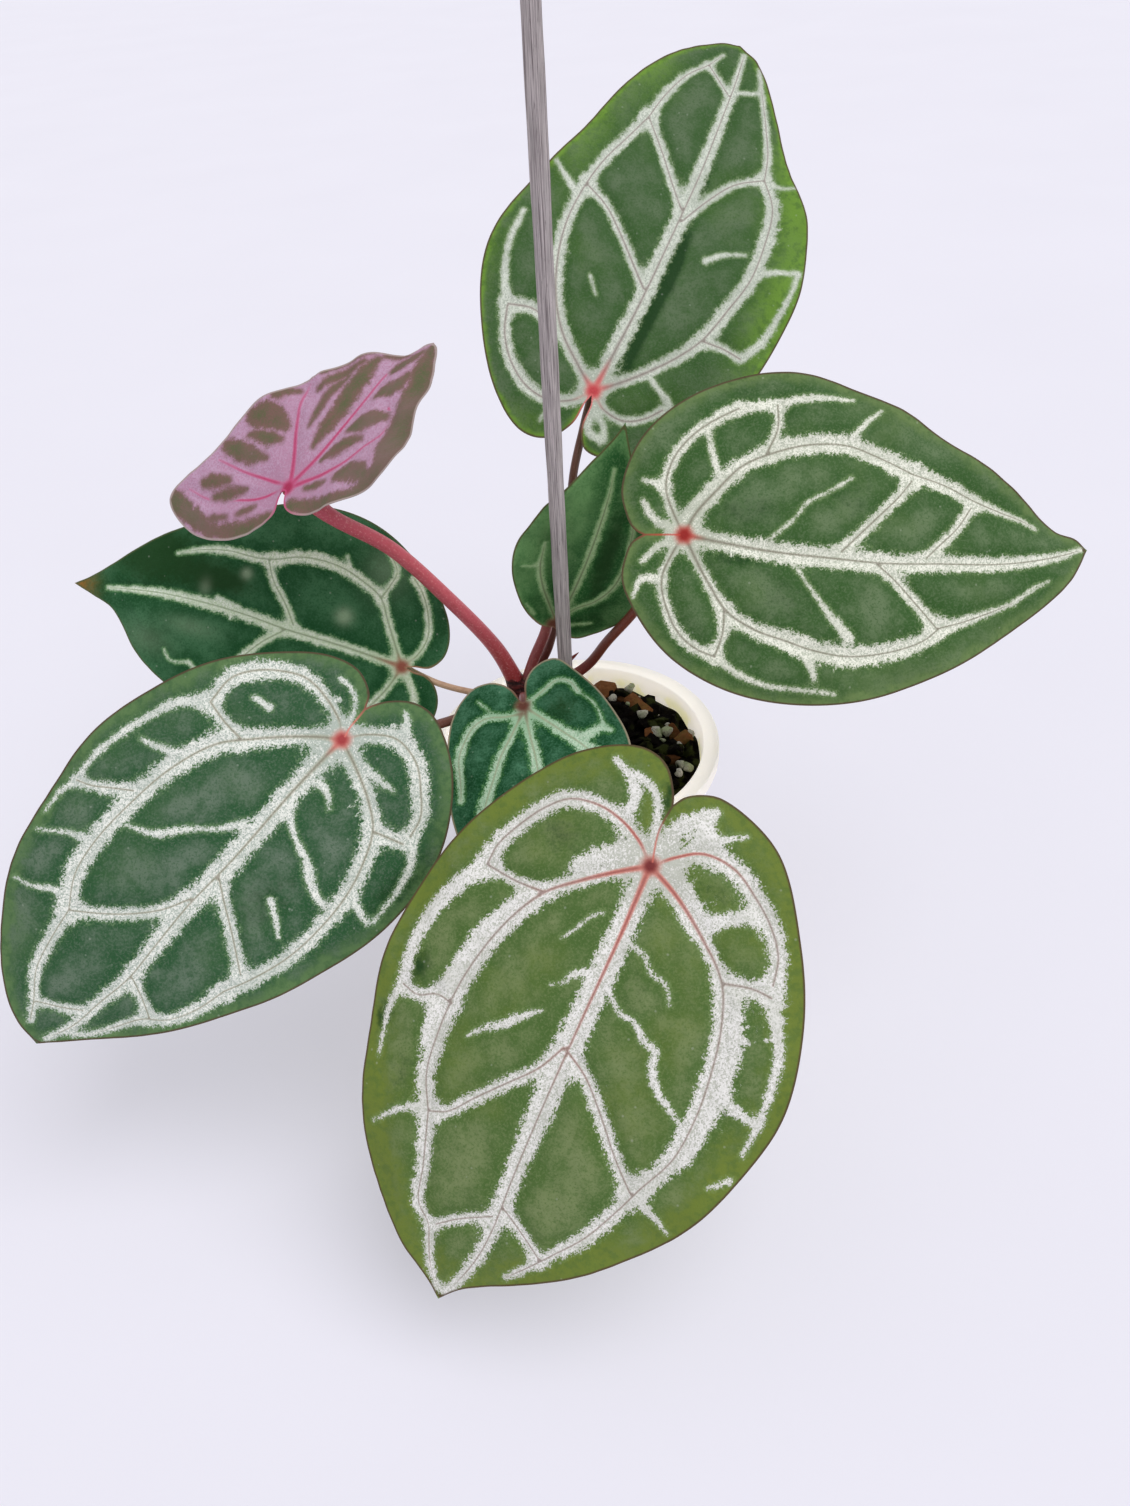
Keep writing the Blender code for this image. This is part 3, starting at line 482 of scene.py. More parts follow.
share = np.concatenate([[0, 0.0015, 0.004], np.linspace(0.01, 0.994, 150), [0.9975, 0.9992, 1.0]])
path = STAKE_FOOT + share[:, None] * (STAKE_TOP - STAKE_FOOT)
turn = np.arange(STAKE_SIDES) * tau / STAKE_SIDES
ease = np.interp(share, [0, 0.0015, 0.004, 0.9975, 0.9992, 1.0], [0.62, 0.9, 1.0, 1.0, 0.93, 0.72])
swell = 1 + 0.02 * np.sin(share * 31) + 0.015 * np.sin(share * 83 + 1)
ridges = 0.022 * np.sin(7 * turn + 2 * np.sin(share * 9)[:, None])
ridges = ridges + 0.014 * np.sin(17 * turn + 5 * share[:, None])
flats = 0.035 * np.cos(2 * turn + 0.4) + 0.03 * np.cos(4 * turn)
radii = STAKE_RADIUS * (ease * swell)[:, None] * (1 + ridges + flats)
points, faces = tube(path, radii, STAKE_SIDES, ACROSS)
stake = add_mesh("stake_wood", points, faces, wood)
add_lengths(stake, len(path), STAKE_SIDES, STAKE_LENGTH)
fit_piece(stake, "stake_wood", "stake")

# Crown: the short dark maroon stock that every leaf grows from, rooted in the mix.
# Each petiole leaves it through a swollen clasping foot, and a small dry red sheath
# stands beside the right petiole.
CROWN_RADIUS = 5.2
CROWN_SIDES = 32
STUB_LENGTH = 13.0
STUB_SIDES = 24
STUB_AIM = {"front": (8, -16, 1), "left": (-12, -14, 8), "right": (13, -2, 7),
            "back": (9, 5, 16), "lower_left": (-14, -4, 8), "young": (-5, 0, 18),
            "small_back": (4, -4, 18), "small_front": (0.5, -13, 11)}
PETIOLE_RADIUS = {"front": 1.9, "left": 1.7, "right": 1.75, "back": 1.45,
                  "lower_left": 1.2, "young": 2.6, "small_back": 2.0, "small_front": 1.5}
SHEATH_TIP = np.array([4.0, 22.5, 110.0])
SHEATH_SIDES = 16
PATH_STEP = 1.2


def curve_through(points, step):
    """Points about every `step` along a centripetal Catmull-Rom curve through `points`."""
    p = np.asarray(points, float)
    if len(p) == 2:
        count = max(1, round(np.linalg.norm(p[1] - p[0]) / step))
        return p[0] + np.linspace(0, 1, count + 1)[:, None] * (p[1] - p[0])
    p = np.vstack([2 * p[0] - p[1], p, 2 * p[-1] - p[-2]])
    knots = np.concatenate([[0], np.cumsum(np.sqrt(np.linalg.norm(np.diff(p, axis=0), axis=1)))])
    pieces = []
    for i in range(1, len(p) - 2):
        t = np.linspace(knots[i], knots[i + 1], 13)[:-1, None]
        k0, k1, k2, k3 = knots[i - 1:i + 3]
        a1 = (k1 - t) / (k1 - k0) * p[i - 1] + (t - k0) / (k1 - k0) * p[i]
        a2 = (k2 - t) / (k2 - k1) * p[i] + (t - k1) / (k2 - k1) * p[i + 1]
        a3 = (k3 - t) / (k3 - k2) * p[i + 1] + (t - k2) / (k3 - k2) * p[i + 2]
        b1 = (k2 - t) / (k2 - k0) * a1 + (t - k0) / (k2 - k0) * a2
        b2 = (k3 - t) / (k3 - k1) * a2 + (t - k1) / (k3 - k1) * a3
        pieces.append((k2 - t) / (k2 - k1) * b1 + (t - k1) / (k2 - k1) * b2)
    fine = np.vstack(pieces + [p[-2:-1]])
    run = np.concatenate([[0], np.cumsum(np.linalg.norm(np.diff(fine, axis=0), axis=1))])
    wanted = np.linspace(0, run[-1], max(1, round(run[-1] / step)) + 1)
    return np.stack([np.interp(wanted, run, fine[:, k]) for k in range(p.shape[1])], axis=1)


def stub_aim(name):
    """Direction in which a petiole leaves the crown."""
    aim = np.array(STUB_AIM[name], float)
    return aim / np.linalg.norm(aim)


stock, tree, shader = new_material("crown skin", Roughness=0.5, Specular_IOR_Level=0.4)
place = node(tree, "TexCoord").outputs["Object"]
rings = cloud(tree, squeezed(tree, place, 0.4, 0.4, 2.0), 500.0, 4.0)
shown = blend(tree, fade(tree, rings, 0.35, 0.65), colour(0.030, 0.006, 0.008), colour(0.150, 0.026, 0.026))
scars = fade(tree, cloud(tree, place, 260.0, 3.0), 0.58, 0.70)
shown = blend(tree, scars, shown, colour(0.160, 0.085, 0.040))
tree.links.new(shown, shader.inputs["Base Color"])
bump(tree, shader, rings, 0.0005)

heights = np.array([-24, -23.2, -22, -16, -9, -3, 1, 3.4, 4.8, 5.4])
ease = CROWN_RADIUS * np.array([0.35, 0.55, 0.72, 0.92, 1.0, 0.98, 0.86, 0.62, 0.34, 0.12])
turn = np.arange(CROWN_SIDES) * tau / CROWN_SIDES
lumps = 0.05 * np.sin(3 * turn + 0.3 * heights[:, None]) + 0.04 * np.sin(5 * turn - 0.5 * heights[:, None])
path = CROWN_CENTRE + heights[:, None] * np.array([0, 0, 1.0])
points, faces = tube(path, ease[:, None] * (1 + lumps), CROWN_SIDES, ACROSS)

husk, tree, shader = new_material("dry sheath", Roughness=0.65)
place = node(tree, "TexCoord").outputs["Object"]
shown = blend(tree, cloud(tree, place, 420.0, 3.0), colour(0.16, 0.020, 0.024), colour(0.40, 0.085, 0.070))
tree.links.new(shown, shader.inputs["Base Color"])

crown = add_mesh("crown_stock", points, faces, stock, husk)
limbs = []
turn = np.arange(STUB_SIDES) * tau / STUB_SIDES
groove = 1 - 0.10 * np.exp(-((turn - 3.1) / 0.5) ** 2)
out = np.linspace(0, STUB_LENGTH, 12)
swell = np.interp(out / STUB_LENGTH, [0, 0.35, 0.6, 0.9, 1], [1.75, 1.7, 1.42, 1.16, 1.04])
for name, radius in PETIOLE_RADIUS.items():
    path = CROWN_CENTRE + out[:, None] * stub_aim(name)
    limbs.append(tube(path, radius * swell[:, None] * groove, STUB_SIDES))
bend = CROWN_CENTRE + 0.5 * (SHEATH_TIP - CROWN_CENTRE) + (0, 1.5, -1.0)
path = curve_through([CROWN_CENTRE, bend, SHEATH_TIP], PATH_STEP)
ease = np.interp(np.linspace(0, 1, len(path)), [0, 0.6, 0.9, 1], [1.6, 1.2, 0.6, 0.12])
limbs.append(tube(path, ease, SHEATH_SIDES))
for i, (points, faces) in enumerate(limbs):
    limb = add_mesh("limb", points, faces, stock, husk)
    is_sheath = i == len(limbs) - 1
    limb.data.polygons.foreach_set("material_index", np.full(len(faces), int(is_sheath), np.int32))
    combine(crown, limb, "UNION")
fit_piece(crown, "crown", "crown")

# Front leaf: the fullest one. It hangs over the pot's edge towards -Y, green with an
# olive margin, on a petiole that bows low over the rim. Like the others, its blade
# is thin and velvety, domed between sunken veins, and silver spreads along the veins.
BLADE_THICKNESS = 0.9
SEAT_RADIUS = 9.0
EDGE_SHARE = 0.3
RIB_HEIGHT = 0.55
GROOVE_DEPTH = 0.45
CORD_HEIGHT = 0.30
DIMPLE_HEIGHT = 0.16
PUFF_FADE = 4.0
MARGIN_FADE = 7.0
WAVE_COUNT = 9
SEAM_EDGE = 0.25
ISLAND_GROWTH = 0.4
LATTICE_STEP = 0.9
OUTLINE_STEP = 1.1
LINE_STEP = 2.0
FAR = 99.0
STROKE_SHIFT = 40.0
NOTCH = (0.0, -1.2)


def leaf_axes(leaf):
    """Unit vectors of a blade: to its right side, along its midrib, and out of its face.
    The midrib points `heading` degrees round from +X and `lift` above level, and the face
    is turned about it by `roll`."""
    heading, lift, roll = (radians(leaf[key]) for key in ("heading", "lift", "roll"))
    along = np.array([cos(lift) * cos(heading), cos(lift) * sin(heading), sin(lift)])
    up = np.array([-sin(lift) * cos(heading), -sin(lift) * sin(heading), cos(lift)])
    out = cos(roll) * up + sin(roll) * np.cross(along, up)
    return np.cross(along, out), along, out


def nearest_on(spots, line):
    """Distance from each spot to a broken line, and how far along the line the nearest point is."""
    start, span = line[:-1], np.diff(line, axis=0)
    length = np.linalg.norm(span, axis=1)
    to = spots[:, None] - start
    share = np.clip((to * span).sum(-1) / length ** 2, 0, 1)
    away = np.linalg.norm(to - share[..., None] * span, axis=-1)
    best = away.argmin(axis=1)
    rows = np.arange(len(spots))
    return away[rows, best], (np.cumsum(length) - length)[best] + share[rows, best] * length[best]


def read_strokes(spots, strokes, softest=6.0):
    """How spots lie among strokes: each is a tuple of half widths, even along it, and its points.

    Returns `gap`, the distance to the nearest stroke's edge, negative inside it,
    `centre`, the distance to the nearest middle line, and the nearest stroke's `run`,
    how far along it a spot lies, and `girth`, its half width. Where strokes meet, a
    smooth minimum rounds the corners: min(a, b) is lowered by r/4 where a = b, and by
    less out to |a - b| = r, with r from the strokes' widths up to `softest`.
    """
    gap = np.full(len(spots), FAR)
    centre, run, girth = gap.copy(), np.zeros(len(spots)), np.zeros(len(spots))
    for i, (widths, points) in enumerate(strokes):
        line = curve_through(points, LINE_STEP)
        away, along = nearest_on(spots, line)
        length = np.linalg.norm(np.diff(line, axis=0), axis=1).sum()
        half = np.interp(along / length, np.linspace(0, 1, len(widths)), widths)
        new = away - half
        run = np.where(new < gap, along + STROKE_SHIFT * i, run)
        girth = np.where(new < gap, half, girth)
        rounding = min(softest, 0.4 + 2 * sum(widths) / len(widths))
        share = np.clip(0.5 + 0.5 * (new - gap) / rounding, 0, 1)
        gap = new * (1 - share) + gap * share - rounding * share * (1 - share)
        centre = np.minimum(centre, away)
    return gap, centre, run, girth


def blade_lift(spots, leaf, centre, edge):
    """Height of a blade's face over its plane: one parabola arches it along the midrib,
    another lifts or drops its sides, the fields between the veins puff up, and the
    margin waves. Puff and wave fade out round the petiole's seat. Each vein is a fine
    cord in the bottom of a shallow groove, and small swells dimple the fields."""
    x, y = spots.T
    share = y / leaf["length"]
    base = 4 * leaf["arch"] * share * (1 - share) + leaf["sides"] * (x / leaf["half_width"]) ** 2
    puff = leaf["puff"] * (1 - np.exp(-(centre / PUFF_FADE) ** 2))
    band = np.exp(-(edge / MARGIN_FADE) ** 2)
    wave = 0.9 * leaf["puff"] * np.sin(WAVE_COUNT * np.arctan2(x, y - 0.4 * leaf["length"])) * band
    away = 1 - np.exp(-(x ** 2 + y ** 2) / SEAT_RADIUS ** 2)
    groove = GROOVE_DEPTH * np.exp(-(centre / 1.7) ** 2) - CORD_HEIGHT * np.exp(-(centre / 0.5) ** 2)
    dimple = DIMPLE_HEIGHT * np.sin(x / 1.7 + np.sin(y / 3.3)) * np.sin(y / 1.9 + np.sin(x / 2.9))
    dimple = dimple * (1 - np.exp(-(centre / 3.0) ** 2))
    return base + away * (puff * (1 - band) + wave) - groove + dimple


def blotches(spots, marks):
    """Sum of soft oval marks, each (x, y, half length across, half length along, strength)."""
    total = np.zeros(len(spots))
    for x, y, across, along, strength in marks:
        total += strength * np.exp(-((spots[:, 0] - x) / across) ** 2 - ((spots[:, 1] - y) / along) ** 2)
    return np.clip(total, 0, 1)


def blade_mesh(margin, veins, step):
    """Points and triangles inside a closed margin: a six-sided lattice, with rows of
    points of its own on the margin and on the veins."""
    fixed = margin
    for points in veins:
        row = curve_through(points, 0.8 * step)
        clear = np.linalg.norm(row[:, None] - fixed, axis=-1).min(axis=1) > 0.5 * step
        fixed = np.vstack([fixed, row[clear]])
    low, high = margin.min(0), margin.max(0)
    x, y = np.meshgrid(np.arange(low[0], high[0], step), np.arange(low[1], high[1], step * 0.87))
    x = x + (np.arange(len(x)) % 2)[:, None] * step / 2
    lattice = np.stack([x.ravel(), y.ravel()], axis=1)
    clear = np.concatenate([np.linalg.norm(rows[:, None] - fixed, axis=-1).min(axis=1) > 0.55 * step
                            for rows in np.array_split(lattice, 12)])
    corners = [Vector(point) for point in np.vstack([fixed, lattice[clear]])]
    found, _, faces, *_ = delaunay_2d_cdt(corners, [], [list(range(len(margin)))], 1, 1e-4)
    spots, faces = np.array([tuple(v) for v in found]), np.array(faces)
    used, faces = np.unique(faces, return_inverse=True)
    return spots[used], faces.reshape(-1, 3)


def blade(name, leaf, upper, under, slot):
    """Heart-shaped blade: two faces of the same triangles, the lower one at the blade's
    thickness with a raised rib under each vein, joined by a strip round the margin. A
    `seam` is where two lobes lie edge to edge, and `patches` are islands without silver."""
    tip = [(0.0, leaf["length"])]
    seam = [NOTCH] + leaf.get("seam", [])
    right = curve_through(seam[-1:] + leaf["right"] + tip, OUTLINE_STEP)
    left = curve_through(seam[-1:] + leaf["left"] + tip, OUTLINE_STEP)
    margin = np.vstack([right, left[-2:0:-1]])
    lines = [points for _, points in leaf["net"]]
    lines += [seam] if "seam" in leaf else []
    spots, faces = blade_mesh(margin, lines, leaf.get("step", LATTICE_STEP))

    edge = nearest_on(spots, np.vstack([margin[::3], margin[:1]]))[0]
    if "seam" in leaf:
        edge = np.minimum(edge, SEAM_EDGE + nearest_on(spots, curve_through(seam, 1.0))[0])
    _, centre, _, _ = read_strokes(spots, leaf["net"])
    if "patches" in leaf:
        gap, _, run, girth = read_strokes(spots, leaf["patches"], 1.0)
        gap = ISLAND_GROWTH - gap
    else:
        gap, _, run, girth = read_strokes(spots, leaf["net"] + leaf["wash"])
    side, along, out = leaf_axes(leaf)
    plane = np.array(leaf["attach"]) + spots[:, :1] * side + spots[:, 1:] * along
    face = plane + blade_lift(spots, leaf, centre, edge)[:, None] * out
    fading = 1 - 0.7 * np.clip(spots[:, 1] / leaf["length"], 0, 1)
    rib = RIB_HEIGHT * fading * np.exp(-(centre / 1.1) ** 2) * np.clip(edge / 3, 0, 1)
    body = BLADE_THICKNESS * (EDGE_SHARE + (1 - EDGE_SHARE) * (1 - np.exp(-(edge / 1.4) ** 2)))
    back = face - (body + rib)[:, None] * out

    count = len(face)
    ends = np.vstack([faces[:, [0, 1]], faces[:, [1, 2]], faces[:, [2, 0]]])
    rim = ends[~np.isin(ends[:, 0] * count + ends[:, 1], ends[:, 1] * count + ends[:, 0])]
    strip = np.stack([rim[:, 1], rim[:, 0], rim[:, 0] + count, rim[:, 1] + count], axis=1)
    piece = add_mesh(f"leaf_{name}", np.vstack([face, back]),
                     faces.tolist() + (faces[:, ::-1] + count).tolist() + strip.tolist(), upper, under)
    kinds = np.zeros(len(piece.data.polygons), np.int32)
    kinds[len(faces):2 * len(faces)] = 1
    piece.data.polygons.foreach_set("material_index", kinds)
    piece.data.set_sharp_from_angle(angle=radians(60))
    values = {"gap": gap, "centre": centre, "run": run, "edge": edge, "reach": np.hypot(*spots.T)}
    values["girth"] = np.clip(girth, 0.3, 2.6)
    values["taper"] = np.interp(values["reach"], [0, 8, 25, 60, 130], [2.8, 2.1, 1.45, 1.05, 0.7])
    values["taper"] *= 1 + 0.5 * spots[:, 1] / (values["reach"] + 1) * np.exp(-values["reach"] / 40)
    fray = leaf["feather"] + 5 * blotches(spots, leaf.get("fray", []))
    values["fray"] = fray * np.clip(girth / 2.2, 0.25, 1)
    values["blush"] = np.clip(1.4 - np.hypot(2.2 * spots[:, 0], spots[:, 1]) / leaf["blush"], 0, 1)
    for key in ("tint", "shade", "bloom"):
        values[key] = blotches(spots, leaf.get(key, []))
    for key, value in values.items():
        add_values(piece, key, np.tile(value, 2))
    fit_piece(piece, slot, f"blade_{name}")


def shader_group(name, colours, numbers, results):
    """Empty shader node group: the group, its inputs' outputs and its outputs' inputs."""
    group = bpy.data.node_groups.new(name, "ShaderNodeTree")
    for label in colours:
        group.interface.new_socket(label, in_out="INPUT", socket_type="NodeSocketColor")
    for label in numbers:
        group.interface.new_socket(label, in_out="INPUT", socket_type="NodeSocketFloat")
    for label, kind in results:
        group.interface.new_socket(label, in_out="OUTPUT", socket_type="NodeSocket" + kind)
    return group, group.nodes.new("NodeGroupInput").outputs, group.nodes.new("NodeGroupOutput").inputs


def centred(tree, value, size):
    """A noise from 0 to 1 made to swing about zero, `size` from end to end."""
    return times(tree, minus(tree, value, 0.5), size)


def velvet_group():
    """Shader group for a blade's upper face. Silver lies along the veins, dull and smooth
    beside the vein's fine line and sparkling farther out, dulled in broad patches of painted
    shade, with frayed teeth that run across the vein and a bright green fringe. The fields
    are vivid at the silver's edge and paler with a painted sheen in the middle, take the
    margin's colour near the edge of the leaf and darken under marks of painted shade. The
    vein's line carries a painted groove shadow down its middle."""
    group, given, result = shader_group(
        "velvet leaf",
        ("Field", "Field Light", "Margin", "Silver", "Silver Shade", "Fringe", "Line", "Heart", "Seat",
         "Rim"),
        ("Band", "Cast", "Line Width", "Grit", "Sheen Haze"),
        (("Colour", "Color"), ("Roughness", "Float"), ("Height", "Float")))
    place = node(group, "TexCoord").outputs["Object"]
    gap, centre, run, edge, reach, girth, blush = (
        stored(group, key) for key in ("gap", "centre", "run", "edge", "reach", "girth", "blush"))

    # Where the silver lies: the stored distance to its edge, frayed by three noises.
    grit = node(group, "TexVoronoi", None, {"Vector": place, "Scale": 2600.0}).outputs["Color"]
    grain = cloud(group, place, 1500.0, 2.0, 0.7)
    spurs = fade(group, cloud(group, drawn_out(group, run, gap, 0.40, 0.16), 1.0, 5.0, 0.72), 0.46, 0.72)
    spurs = times(group, spurs, fade(group, cloud(group, place, 170.0), 0.36, 0.58))
    ragged = centred(group, cloud(group, place, 420.0, 5.0, 0.70), plus(group, times(group, girth, 1.2), 0.9))
    frayed = minus(group, plus(group, gap, ragged), times(group, spurs, stored(group, "fray")))
    dust = times(group, given["Grit"], plus(group, 1.1, times(group, girth, 0.6)))
    frayed = plus(group, frayed, centred(group, grit, dust))
    soft = minus(group, 1.15, given["Grit"])
    silver = fade(group, frayed, soft, times(group, soft, -1.0))

    # The fields: a painted sheen in their middles, mottling, the margin's tone, marks of painted shade and
    # the fringe.
    mottle = cloud(group, place, 130.0, 4.0, 0.6)
    patch = cloud(group, place, 420.0, 3.0, 0.65)
    # Painted sheen: away from the silver the fields turn to the paler Field Light, as the velvet's hairs
    # catch the light.
    inner = plus(group, gap, times(group, centred(group, mottle, 2.0), given["Sheen Haze"]))
    sheen_haze = times(group, fade(group, inner, 0.0, given["Sheen Haze"]),
                 fade(group, cloud(group, place, 65.0, 3.0), 0.20, 0.58))
    field = blend(group, sheen_haze, given["Field"], given["Field Light"])
    field = lay(group, field, fade(group, grain, 0.46, 0.66), 0.45, given["Field Light"])
    field = lay(group, field, fade(group, grain, 0.50, 0.34), 0.55, given["Field"])
    field = lay(group, field, fade(group, patch, 0.50, 0.34), 0.40, given["Field"])
    broad = times(group, fade(group, cloud(group, place, 38.0, 2.0), 0.50, 0.72), given["Cast"])
    border = plus(group, edge, times(group, centred(group, mottle, 1.6), given["Band"]))
    outer = minus(group, 1.0, fade(group, border, 0.0, given["Band"]))
    outer = plus(group, plus(group, outer, stored(group, "tint")), broad)
    olive = lay(group, given["Margin"], fade(group, patch, 0.42, 0.66), 0.45, given["Field"])
    field = blend(group, maths(group, "MINIMUM", outer, 1.0), field, olive)
    # Painted shade: the stored shade marks darken the fields to deep green where folds, overlapping leaves
    # and the velvet's slant shade the blade; a few are the blade's own darker patches.
    painted_shade_and_dark_patches = fade(group, plus(group, stored(group, "shade"), centred(group, patch, 0.7)), 0.15, 0.80)
    field = lay(group, field, painted_shade_and_dark_patches, 0.88, colour(0.007, 0.042, 0.006))
    dots = node(group, "TexVoronoi", None, {"Vector": place, "Scale": 210.0}).outputs["Distance"]
    field = lay(group, field, fade(group, dots, 0.10, 0.04), 0.12, given["Silver"])
    field = lay(group, field, stored(group, "bloom"), 0.35, given["Silver Shade"])
    field = lay(group, field, fade(group, frayed, 1.3, 0.1), 0.45, given["Fringe"])

    # The silver: bright grains on a duller ground, dullest round the petiole's seat.
    sparkle = plus(group, grit, times(group, fade(group, centre, 0.3, 3.0), 0.10))
    sparkle = plus(group, sparkle, centred(group, grain, 0.5))
    sparkle = minus(group, sparkle, times(group, fade(group, reach, 17.0, 5.0), 0.34))
    band = blend(group, fade(group, sparkle, 0.20, 0.76), given["Silver Shade"], given["Silver"])
    # Painted shade: broad patches turn the silver to its duller ground, as the light falls across it at a
    # slant.
    painted_silver_shade = fade(group, cloud(group, place, 75.0, 3.0), 0.48, 0.66)
    band = lay(group, band, painted_silver_shade, 0.38, given["Silver Shade"])
    shown = blend(group, silver, field, band)

    # The vein's fine line with a painted groove shadow down its middle, the petiole's seat and the rim.
    half = times(group, given["Line Width"], stored(group, "taper"))
    line = fade(group, centre, half, times(group, half, 0.25))
    line = times(group, line, fade(group, edge, 0.5, 5.0))
    line = times(group, line, fade(group, gap, 0.0, -0.9))
    stroke = blend(group, blush, given["Line"], given["Heart"])
    drawn = plus(group, 0.54, times(group, blush, 0.28))
    shown = lay(group, shown, line, drawn, stroke)
    # Painted groove shadow: a darker stripe down the middle of the line, where the vein's groove would shade
    # it.
    painted_groove_shadow = times(group, fade(group, centre, times(group, half, 0.5), 0.0), line)
    shown = lay(group, shown, painted_groove_shadow, 0.45, blend(group, blush, given["Rim"], given["Seat"]))
    shown = lay(group, shown, fade(group, reach, 4.0, 1.0), 0.9, given["Heart"])
    shown = lay(group, shown, fade(group, reach, 3.0, 0.8), 0.85, given["Seat"])
    rim = blend(group, fade(group, reach, 16.0, 4.0), given["Rim"], given["Heart"])
    shown = lay(group, shown, fade(group, edge, 0.75, 0.25), 0.85, rim)
    group.links.new(shown, result["Colour"])
    group.links.new(minus(group, 0.60, times(group, silver, 0.14)), result["Roughness"])
    group.links.new(plus(group, grain, times(group, grit, silver)), result["Height"])
    return group


def under_group():
    """Shader group for a blade's lower face: pale, with the raised veins paler or redder."""
    group, given, result = shader_group("leaf underside", ("Field", "Vein"), (),
                                        (("Colour", "Color"), ("Height", "Float")))
    place = node(group, "TexCoord").outputs["Object"]
    mottle = cloud(group, place, 160.0, 4.0, 0.6)
    web = node(group, "TexVoronoi", {"feature": "DISTANCE_TO_EDGE"}, {"Vector": place, "Scale": 330.0})
    thread = times(group, fade(group, web.outputs["Distance"], 0.09, 0.02), 0.35)
    lighter = plus(group, times(group, fade(group, mottle, 0.35, 0.7), 0.25), thread)
    field = blend(group, lighter, given["Field"], colour(0.42, 0.50, 0.27))
    main = times(group, fade(group, stored(group, "centre"), 1.6, 0.5),
                 fade(group, stored(group, "edge"), 0.0, 6.0))
    broad = times(group, fade(group, stored(group, "gap"), 0.6, -0.6), 0.35)
    shown = blend(group, maths(group, "MAXIMUM", main, broad), field, given["Vein"])
    group.links.new(shown, result["Colour"])
    group.links.new(plus(group, mottle, thread), result["Height"])
    return group


velvet, underside = velvet_group(), under_group()


def skin(name, group, shades, depth, strength, sockets, **values):
    """Material whose colour and relief, `depth` metres, come from a shader group, given its
    own shades (a colour for each label) and other numbers."""
    material, tree, shader = new_material(name, **values)
    shades = {label: colour(*shade) for label, shade in shades.items()}
    look = node(tree, "Group", {"node_tree": group}, {**shades, **sockets}).outputs
    tree.links.new(look["Colour"], shader.inputs["Base Color"])
    if "Roughness" in look:
        tree.links.new(look["Roughness"], shader.inputs["Roughness"])
    bump(tree, shader, look["Height"], depth, strength)
    return material


def petiole_group():
    """Shader group for a petiole: three colours along it, pale lengthwise flecks and fine ridges."""
    group, given, result = shader_group("petiole skin", ("Foot", "Middle", "Top", "Fleck"), ("Length",),
                                        (("Colour", "Color"), ("Height", "Float")))
    along, turn = stored(group, "along"), stored(group, "round")
    share = maths(group, "DIVIDE", along, given["Length"])
    shown = blend(group, fade(group, share, 0.05, 0.35), given["Foot"], given["Middle"])
    shown = blend(group, fade(group, share, 0.55, 0.95), shown, given["Top"])
    where = drawn_out(group, turn, along, 9.0, 0.8)
    flecks = cloud(group, where, 1.3, 3.0, 0.65)
    shown = lay(group, shown, fade(group, flecks, 0.52, 0.72), 0.55, given["Fleck"])
    shown = lay(group, shown, fade(group, cloud(group, where, 0.5), 0.5, 0.3), 0.35, given["Foot"])
    group.links.new(shown, result["Colour"])
    group.links.new(flecks, result["Height"])
    return group


petiole_look = petiole_group()
PETIOLE_SIDES = 24


def petiole(name, leaf, stalk, slot):
    """Petiole from inside the crown to the underside of its blade: a tube along a curve
    through its route, swollen where it clasps the crown and again where it bends into
    the blade. `stalk` holds its colours: foot, middle, top and fleck."""
    radius, aim = PETIOLE_RADIUS[name], stub_aim(name)
    _, along, out = leaf_axes(leaf)
    normal = out - 4 * leaf["arch"] / leaf["length"] * along
    normal /= np.linalg.norm(normal)
    end = np.array(leaf["attach"]) - (BLADE_THICKNESS - 0.2) * normal
    bend = end - (2.5 * radius + 1.4) * normal
    start = CROWN_CENTRE + STUB_LENGTH * aim
    path = curve_through([CROWN_CENTRE + 4 * aim, start] + leaf["route"] + [bend, end], PATH_STEP)
    share = np.linspace(0, 1, len(path))
    swell = np.interp(share, [0, 0.1, 0.22, 0.5, 0.84, 0.9, 0.96, 1],
                      [1.30, 1.12, 1.0, 0.93, 0.92, 1.06, 1.10, 0.95])
    turn = np.arange(PETIOLE_SIDES) * tau / PETIOLE_SIDES
    ridges = 1 + 0.03 * np.cos(3 * turn + 0.4 + 2 * share[:, None]) + 0.015 * np.sin(7 * turn)
    length = PATH_STEP * (len(path) - 1)
    material = skin(f"petiole {name}", petiole_look, dict(zip(("Foot", "Middle", "Top", "Fleck"), stalk)),
                    0.0003, 0.5, {"Length": length}, Roughness=0.42, Specular_IOR_Level=0.45)
    points, faces = tube(path, radius * swell[:, None] * ridges, PETIOLE_SIDES)
    piece = add_mesh(f"stalk_{name}", points, faces, material)
    add_lengths(piece, len(path), PETIOLE_SIDES, length)
    fit_piece(piece, slot, f"petiole_{name}")


def grow(name, leaf, shades, under, stalk, slots, band=4.0, cast=0.1, width=0.42, grit=0.9, sheen_haze=8.5):
    """One whole leaf: its petiole and its blade. `shades` are the colours of the blade's
    upper face, `under` the field and the vein of its lower face, and `slots` names the
    material slots of petiole and blade, which are not used. `band` and `sheen_haze` are
    the margin's and the painted sheen's widths (mm), `cast` the margin's tone over the
    fields, `width` the line's and `grit` how coarsely the silver breaks up."""
    title = name.replace("_", " ")
    upper = skin(f"{title} blade", velvet, shades, 0.00022, 0.8,
                 {"Band": band, "Cast": cast, "Line Width": width, "Grit": grit, "Sheen Haze": sheen_haze},
                 Specular_IOR_Level=0.14, Sheen_Weight=0.02, Sheen_Roughness=0.4)
    lower = skin(f"{title} underside", underside, dict(zip(("Field", "Vein"), under)), 0.0002, 0.6, {},
                 Roughness=0.55, Specular_IOR_Level=0.3)
    petiole(name, leaf, stalk, slots[0])
    blade(name, leaf, upper, lower, slots[1])
